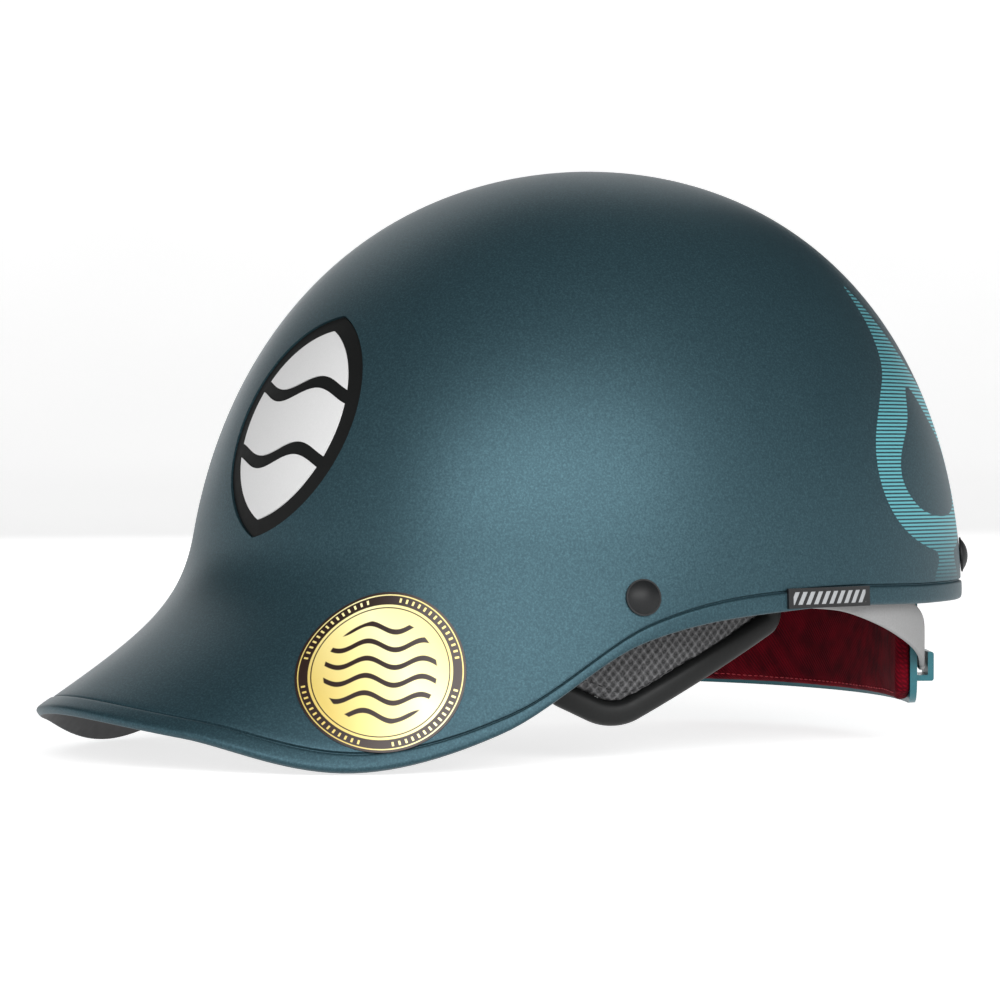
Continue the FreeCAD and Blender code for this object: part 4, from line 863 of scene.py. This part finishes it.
def rounded_outline(corners, set_in):
    """Points round a polygon with rounded corners, moved inwards; corners run anticlockwise."""
    marks = []
    n = len(corners)
    spots = [np.array(c[:2], float) for c in corners]
    for i in range(n):
        here, before, after = spots[i], spots[i - 1], spots[(i + 1) % n]
        a = (before - here) / np.linalg.norm(before - here)
        b = (after - here) / np.linalg.norm(after - here)
        half = math.acos(np.clip(a @ b, -1, 1)) / 2
        radius = corners[i][2]
        centre = here + (a + b) / np.linalg.norm(a + b) * radius / math.sin(half)
        run = radius / math.tan(half)
        hollow = (here - before)[0] * (after - here)[1] < (here - before)[1] * (after - here)[0]
        marks.append((here + a * run, centre, here + b * run, radius, 1 if hollow else -1))
    line = []
    for i in range(n):
        first, centre, last, radius, turn = marks[i]
        a0 = math.atan2(*(first - centre)[::-1])
        a1 = math.atan2(*(last - centre)[::-1])
        a1 += -2 * math.pi * round((a1 - a0) / (2 * math.pi))
        steps = max(3, int(abs(a1 - a0) * radius / OUTLINE_PITCH))
        for k in range(steps + 1):
            t = a0 + (a1 - a0) * k / steps
            line.append(centre + (radius + turn * set_in) * np.array([math.cos(t), math.sin(t)]))
        reach = marks[(i + 1) % n][0] - last
        inward = np.array([-reach[1], reach[0]]) / np.linalg.norm(reach)
        steps = int(np.linalg.norm(reach) / OUTLINE_PITCH)
        for k in range(1, steps):
            line.append(last + reach * k / steps + inward * set_in)
    return np.array(line)


def ear_frame(line, set_in, sign):
    """Points on the ear wall for (y, z) points, and the wall's outward direction there."""
    phi = np.radians(np.linspace(38, 124, 400))
    edge = plan_edge(phi, set_in)
    x = np.interp(line[:, 0], edge[:, 1], edge[:, 0])
    slope = np.interp(line[:, 0], edge[:, 1], np.gradient(edge[:, 0], edge[:, 1]))
    out = np.stack([sign * np.ones(len(line)), -slope, 0 * slope], -1)
    out /= np.linalg.norm(out, axis=1, keepdims=True)
    return np.stack([sign * x, line[:, 0], line[:, 1]], -1), out


def tube(name, path, out, half_wide, half_thick, finish, body, power, sides, closed=True):
    """Soft-cornered bar swept along a path; out is the direction of its thickness."""
    n = len(path)
    ahead = np.roll(path, -1, 0) - np.roll(path, 1, 0)
    if not closed:
        ahead[0], ahead[-1] = path[1] - path[0], path[-1] - path[-2]
    ahead /= np.linalg.norm(ahead, axis=1, keepdims=True)
    wide = np.cross(ahead, out)
    wide /= np.linalg.norm(wide, axis=1, keepdims=True)
    out = np.cross(wide, ahead)
    points = []
    for i in range(n):
        for j in range(sides):
            t = 2 * math.pi * j / sides
            c, s = math.cos(t), math.sin(t)
            points.append(path[i] + wide[i] * half_wide * math.copysign(abs(c) ** (2 / power), c)
                          + out[i] * half_thick * math.copysign(abs(s) ** (2 / power), s))
    faces = grid_faces(n, sides, True)
    if closed:
        last = (n - 1) * sides
        faces += [(last + j, last + (j + 1) % sides, (j + 1) % sides, j) for j in range(sides)]
    else:
        faces += [tuple(range(sides))[::-1], tuple((n - 1) * sides + j for j in range(sides))]
    bar = piece(name, points, faces, FINISH[finish], body=None)
    layer = bar.data.uv_layers.new(name="along")
    run = np.concatenate([[0], np.cumsum(np.linalg.norm(np.diff(path, axis=0), axis=1))]) * MM
    for loop in bar.data.loops:
        i, j = divmod(loop.vertex_index, sides)
        layer.data[loop.index].uv = (run[i], half_wide * MM * math.cos(2 * math.pi * j / sides))
    face_out(bar.data)
    if body:
        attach(bar, body)
    return bar


def smooth_between(path, count):
    """Catmull-Rom curve through points, evenly stepped."""
    path = np.asarray(path, float)
    full = np.vstack([2 * path[0] - path[1], path, 2 * path[-1] - path[-2]])
    out = []
    for t in np.linspace(0, len(path) - 1 - 1e-9, count):
        i, u = int(t), t - int(t)
        p0, p1, p2, p3 = full[i:i + 4]
        out.append(0.5 * (2 * p1 + (p2 - p0) * u + (2 * p0 - 5 * p1 + 4 * p2 - p3) * u * u
                          + (3 * p1 - p0 - 3 * p2 + p3) * u ** 3))
    return np.array(out)


ear_line = rounded_outline(EAR_CORNERS, EDGING_SET_IN)
for side, sign in (("left", 1), ("right", -1)):
    path, out = ear_frame(ear_line, EAR_SET_IN + EAR_WALL / 2, sign)
    edging = tube("ear_edging_" + side, path, out, EDGING_HALF_WIDE, EDGING_HALF_THICK, "ear_piping",
                  "ear_" + side, 2.5, 24)
    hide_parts("ear_pad_piping_" + side)


# ------------------------------------------------------------------ rubber neck straps
CRADLE_R, CRADLE_CENTRE_Y = 138.0, -26.0
CRADLE_WALL, NECK_PAD_GAP, NECK_PAD_WALL = 2.4, 0.3, 6.0
HOOK_ARC, HOOK_SLOT, HOOK_FLOOR = 29.0, 3.6, -25.0
STRAP_START_PHI, STRAP_START_SET_IN, STRAP_START_Z = 101.0, 11.0, 8.0
STRAP_HALF_WIDE, STRAP_HALF_THICK = 7.0, 1.1
STRAP_STEPS, STRETCH_FROM, STRETCH_TO = 60, 20, -4
STRAP_ROUTE = ((0.0, 0.0), (0.18, 0.05), (0.38, 0.20), (0.58, 0.38), (0.76, 0.54), (0.91, 0.68),
               (0.99, 0.80), (1.0, 0.92))


def neck_strap(side, sign):
    hook = math.radians(HOOK_ARC)
    away = np.array([math.sin(hook), math.cos(hook)])
    end = np.array([0, CRADLE_CENTRE_Y]) + away * (CRADLE_R + HOOK_SLOT / 2)
    start = plan_edge(np.array(math.radians(STRAP_START_PHI)), STRAP_START_SET_IN)
    gap = start - end
    radius = -(gap @ gap) / (2 * gap @ away)
    centre = end - away * radius
    first = math.atan2(*(start - centre)[::-1])
    last = math.atan2(*(end - centre)[::-1])
    run, drop = (last - first) * radius, STRAP_START_Z - HOOK_FLOOR
    line = smooth_between([(run * a, STRAP_START_Z - drop * b) for a, b in STRAP_ROUTE], STRAP_STEPS)
    angle = first + line[:, 0] / radius
    out = np.stack([sign * np.cos(angle), np.sin(angle), 0 * angle], -1)
    path = np.stack([sign * (centre[0] + radius * np.cos(angle)), centre[1] + radius * np.sin(angle),
                     line[:, 1]], -1)
    strap = tube("rubber_strap_" + side, path, out, STRAP_HALF_WIDE, STRAP_HALF_THICK, "strap_grey",
                 None, 5.0, 28, False)
    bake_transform(strap)
    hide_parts("neck_strap_" + side)


neck_strap("left", 1)
neck_strap("right", -1)


# ------------------------------------------------------------------ webbing of the chin strap
def soft_webbing(node, name, body="helmet"):
    """Woven tape: the solid's route with rolled selvedges."""
    tape = copy_of(node, name)
    even = tape.modifiers.new("even", "REMESH")
    even.mode = "VOXEL"
    even.voxel_size = 0.5 * MM
    settle(tape)
    soften = tape.modifiers.new("soften", "SMOOTH")
    soften.factor, soften.iterations = 0.5, 3
    settle(tape)
    for face in tape.data.polygons:
        face.use_smooth = True
    tape.data.materials.append(FINISH["webbing_black"])
    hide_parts(node)
    if body:
        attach(tape, body)
    return tape


for side in ("left", "right"):
    for which in ("front", "rear"):
        soft_webbing(which + "_leg_" + side, which + "_tape_" + side)
soft_webbing("chin_webbing_left", "chin_tape_left")
loose = soft_webbing("chin_webbing_right", "chin_tape_right", None)
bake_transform(loose)


# ------------------------------------------------------------------ stitches
def stitch_tree():
    """Thread stitches along curves; inputs: pitch, length, thickness and the thread's finish."""
    tree = bpy.data.node_groups.new("stitch_row", "GeometryNodeTree")
    face = tree.interface
    face.new_socket("Line", in_out="INPUT", socket_type="NodeSocketGeometry")
    for title, value in (("Pitch", 0.003), ("Length", 0.002), ("Thickness", 0.0004)):
        socket = face.new_socket(title, in_out="INPUT", socket_type="NodeSocketFloat")
        socket.default_value = value
    face.new_socket("Thread", in_out="INPUT", socket_type="NodeSocketMaterial")
    face.new_socket("Stitches", in_out="OUTPUT", socket_type="NodeSocketGeometry")

    def add(kind):
        return tree.nodes.new(kind)

    def join(a, b):
        tree.links.new(a, b)
    start, end = add("NodeGroupInput"), add("NodeGroupOutput")
    curve = add("GeometryNodeMeshToCurve")
    spaced = add("GeometryNodeResampleCurve")
    spaced.mode = "LENGTH"
    thread = add("GeometryNodeMeshIcoSphere")
    thread.inputs["Subdivisions"].default_value = 2
    thread.inputs["Radius"].default_value = 0.5
    size = add("ShaderNodeCombineXYZ")
    shape = add("GeometryNodeTransform")
    tangent = add("GeometryNodeInputTangent")
    aim = add("FunctionNodeAlignRotationToVector")
    aim.axis = "X"
    scatter = add("GeometryNodeInstanceOnPoints")
    real = add("GeometryNodeRealizeInstances")
    coat = add("GeometryNodeSetMaterial")
    join(start.outputs["Line"], curve.inputs["Mesh"])
    join(curve.outputs["Curve"], spaced.inputs["Curve"])
    join(start.outputs["Pitch"], spaced.inputs["Length"])
    join(start.outputs["Length"], size.inputs["X"])
    join(start.outputs["Thickness"], size.inputs["Y"])
    join(start.outputs["Thickness"], size.inputs["Z"])
    join(thread.outputs["Mesh"], shape.inputs["Geometry"])
    join(size.outputs["Vector"], shape.inputs["Scale"])
    join(spaced.outputs["Curve"], scatter.inputs["Points"])
    join(shape.outputs["Geometry"], scatter.inputs["Instance"])
    join(tangent.outputs["Tangent"], aim.inputs["Vector"])
    join(aim.outputs["Rotation"], scatter.inputs["Rotation"])
    join(scatter.outputs["Instances"], real.inputs["Geometry"])
    join(real.outputs["Geometry"], coat.inputs["Geometry"])
    join(start.outputs["Thread"], coat.inputs["Material"])
    join(coat.outputs["Geometry"], end.inputs["Stitches"])
    return tree


STITCH_TREE = stitch_tree()


def sew(name, lines, finish, body, pitch=3.0, length=2.2, thick=0.45):
    """Stitches along one or more lines of millimetre points, as one plain mesh."""
    points, edges = [], []
    for line in lines:
        first = len(points)
        points += [tuple(p) for p in line]
        edges += [(i, i + 1) for i in range(first, len(points) - 1)]
    mesh = bpy.data.meshes.new(name)
    mesh.from_pydata((np.array(points) * MM).tolist(), edges, [])
    row = bpy.data.objects.new(name, mesh)
    bpy.context.scene.collection.objects.link(row)
    nodes = row.modifiers.new("stitches", "NODES")
    nodes.node_group = STITCH_TREE
    values = {"Pitch": pitch * MM, "Length": length * MM, "Thickness": thick * MM, "Thread": finish}
    for item in nodes.node_group.interface.items_tree:
        if item.item_type == "SOCKET" and item.in_out == "INPUT" and item.name in values:
            nodes[item.identifier] = values[item.name]
    settle(row)
    for face in row.data.polygons:
        face.use_smooth = True
    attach(row, body)
    return row


def on_pad(name, line):
    """Lays a line of millimetre points onto the nearest face of a finished piece."""
    target = bpy.data.objects[name]
    tree = BVHTree.FromObject(target, bpy.context.evaluated_depsgraph_get())
    laid = []
    for p in line:
        spot, normal, index, gap = tree.find_nearest(Vector(p) * MM)
        laid.append(np.array(spot) / MM + np.array(normal) * STITCH_LIFT)
    return np.array(laid)


EAR_STITCH_SCALE = (0.86, 0.74)        # stitch line against the edging's, along and up
STITCH_DEPTH, STITCH_LIFT = 0.5, 0.05
NECK_PAD_FACE_R = CRADLE_R - CRADLE_WALL - NECK_PAD_GAP - NECK_PAD_WALL
NECK_STITCH_HEIGHTS, NECK_STITCH_ARC = (-31.5, -1.0), 29.5
black_thread = moulded("black_thread", srgb(30, 30, 32), 0.6, 0.01)
red_thread = moulded("red_thread", srgb(170, 30, 44), 0.6, 0.01)
middle = ear_line.mean(0)
inner_line = middle + (ear_line - middle) * EAR_STITCH_SCALE
for side, sign in (("left", 1), ("right", -1)):
    rows = []
    for set_in in (EAR_SET_IN + STITCH_DEPTH, EAR_SET_IN + EAR_WALL - STITCH_DEPTH):
        path, out = ear_frame(inner_line, set_in, sign)
        rows.append(on_pad("ear_panel_" + side, np.vstack([path, path[:1]])))
    sew("ear_stitches_" + side, rows, black_thread, "ear_" + side)
arc = np.radians(np.linspace(-NECK_STITCH_ARC, NECK_STITCH_ARC, 120))
neck_rows = [np.stack([NECK_PAD_FACE_R * np.sin(arc), CRADLE_CENTRE_Y + NECK_PAD_FACE_R * np.cos(arc),
                       z + 0 * arc], -1) for z in NECK_STITCH_HEIGHTS]
sew("neck_stitches", [on_pad("neck_cushion", row) for row in neck_rows], red_thread, "cradle",
    2.6, 1.9, 0.4)

# ------------------------------------------------------------------ camera, floor and light
AZIMUTH, ELEVATION, DISTANCE = math.radians(58.5), math.radians(1.6), 1.650
back = Vector((math.sin(AZIMUTH) * math.cos(ELEVATION), -math.cos(AZIMUTH) * math.cos(ELEVATION),
               math.sin(ELEVATION)))
right = Vector((math.cos(AZIMUTH), math.sin(AZIMUTH), 0))
up = back.cross(right)
lens = bpy.data.cameras.new("camera")
lens.lens, lens.sensor_width, lens.sensor_fit = 171.7, 36.0, "HORIZONTAL"
lens.clip_start, lens.clip_end = 0.05, 50
camera = bpy.data.objects.new("camera", lens)
camera.matrix_world = Matrix((right, up, back)).transposed().to_4x4()
camera.location = back * DISTANCE + right * -0.0271 + up * 0.0346
bpy.context.scene.collection.objects.link(camera)
bpy.context.scene.camera = camera


def area_light(name, place, aim, size, power, tall=None):
    lamp = bpy.data.lights.new(name, "AREA")
    lamp.shape = "RECTANGLE"
    lamp.size, lamp.size_y, lamp.energy = size, tall or size, power
    thing = bpy.data.objects.new(name, lamp)
    thing.location = place
    thing.rotation_euler = (Vector(aim) - Vector(place)).to_track_quat("-Z", "Y").to_euler()
    bpy.context.scene.collection.objects.link(thing)


centre = Vector((0, -0.02, 0.045))
area_light("key", centre + back * 1.4 + right * 0.25 + up * 0.62, centre, 2.1, 33.0, tall=0.75)
area_light("back_fill", centre - back * 1.5 + right * -0.3 + up * 0.9, centre, 1.6, 9.0)
bpy.context.scene.view_settings.view_transform = "Standard"

floor_z = cad_box[0].z - 0.0004
studio = Finish("pale_studio", rough=0.9, gloss=0.1)
studio.colour(studio.ramp(studio.noise(3.0), ((0.3, srgb(206, 206, 206)), (0.7, srgb(212, 212, 212)))))
studio.set("Emission Color", (1, 1, 1, 1))
studio.set("Emission Strength", 0.76)
n = 64
points, rings = [(0, 0, floor_z / MM)], ((600, 0), (1600, 0), (2600, 0), (3300, 40), (3800, 220),
                                          (4000, 560), (4050, 1000))
for radius, rise in rings:
    for i in range(n):
        k = 2 * math.pi * i / n
        points.append((radius * math.cos(k), radius * math.sin(k), floor_z / MM + rise))
faces = [(0, 1 + i, 1 + (i + 1) % n) for i in range(n)]
faces += [(1 + a * n + i, 1 + (a + 1) * n + i, 1 + (a + 1) * n + (i + 1) % n, 1 + a * n + (i + 1) % n)
          for a in range(len(rings) - 1) for i in range(n)]
floor = piece("studio_floor", points, faces, studio.material, body=None)

world = bpy.data.worlds.new("studio_world")
bpy.context.scene.world = world
world.use_nodes = True
world.node_tree.nodes["Background"].inputs["Color"].default_value = (1, 1, 1, 1)
world.node_tree.nodes["Background"].inputs["Strength"].default_value = 0.03
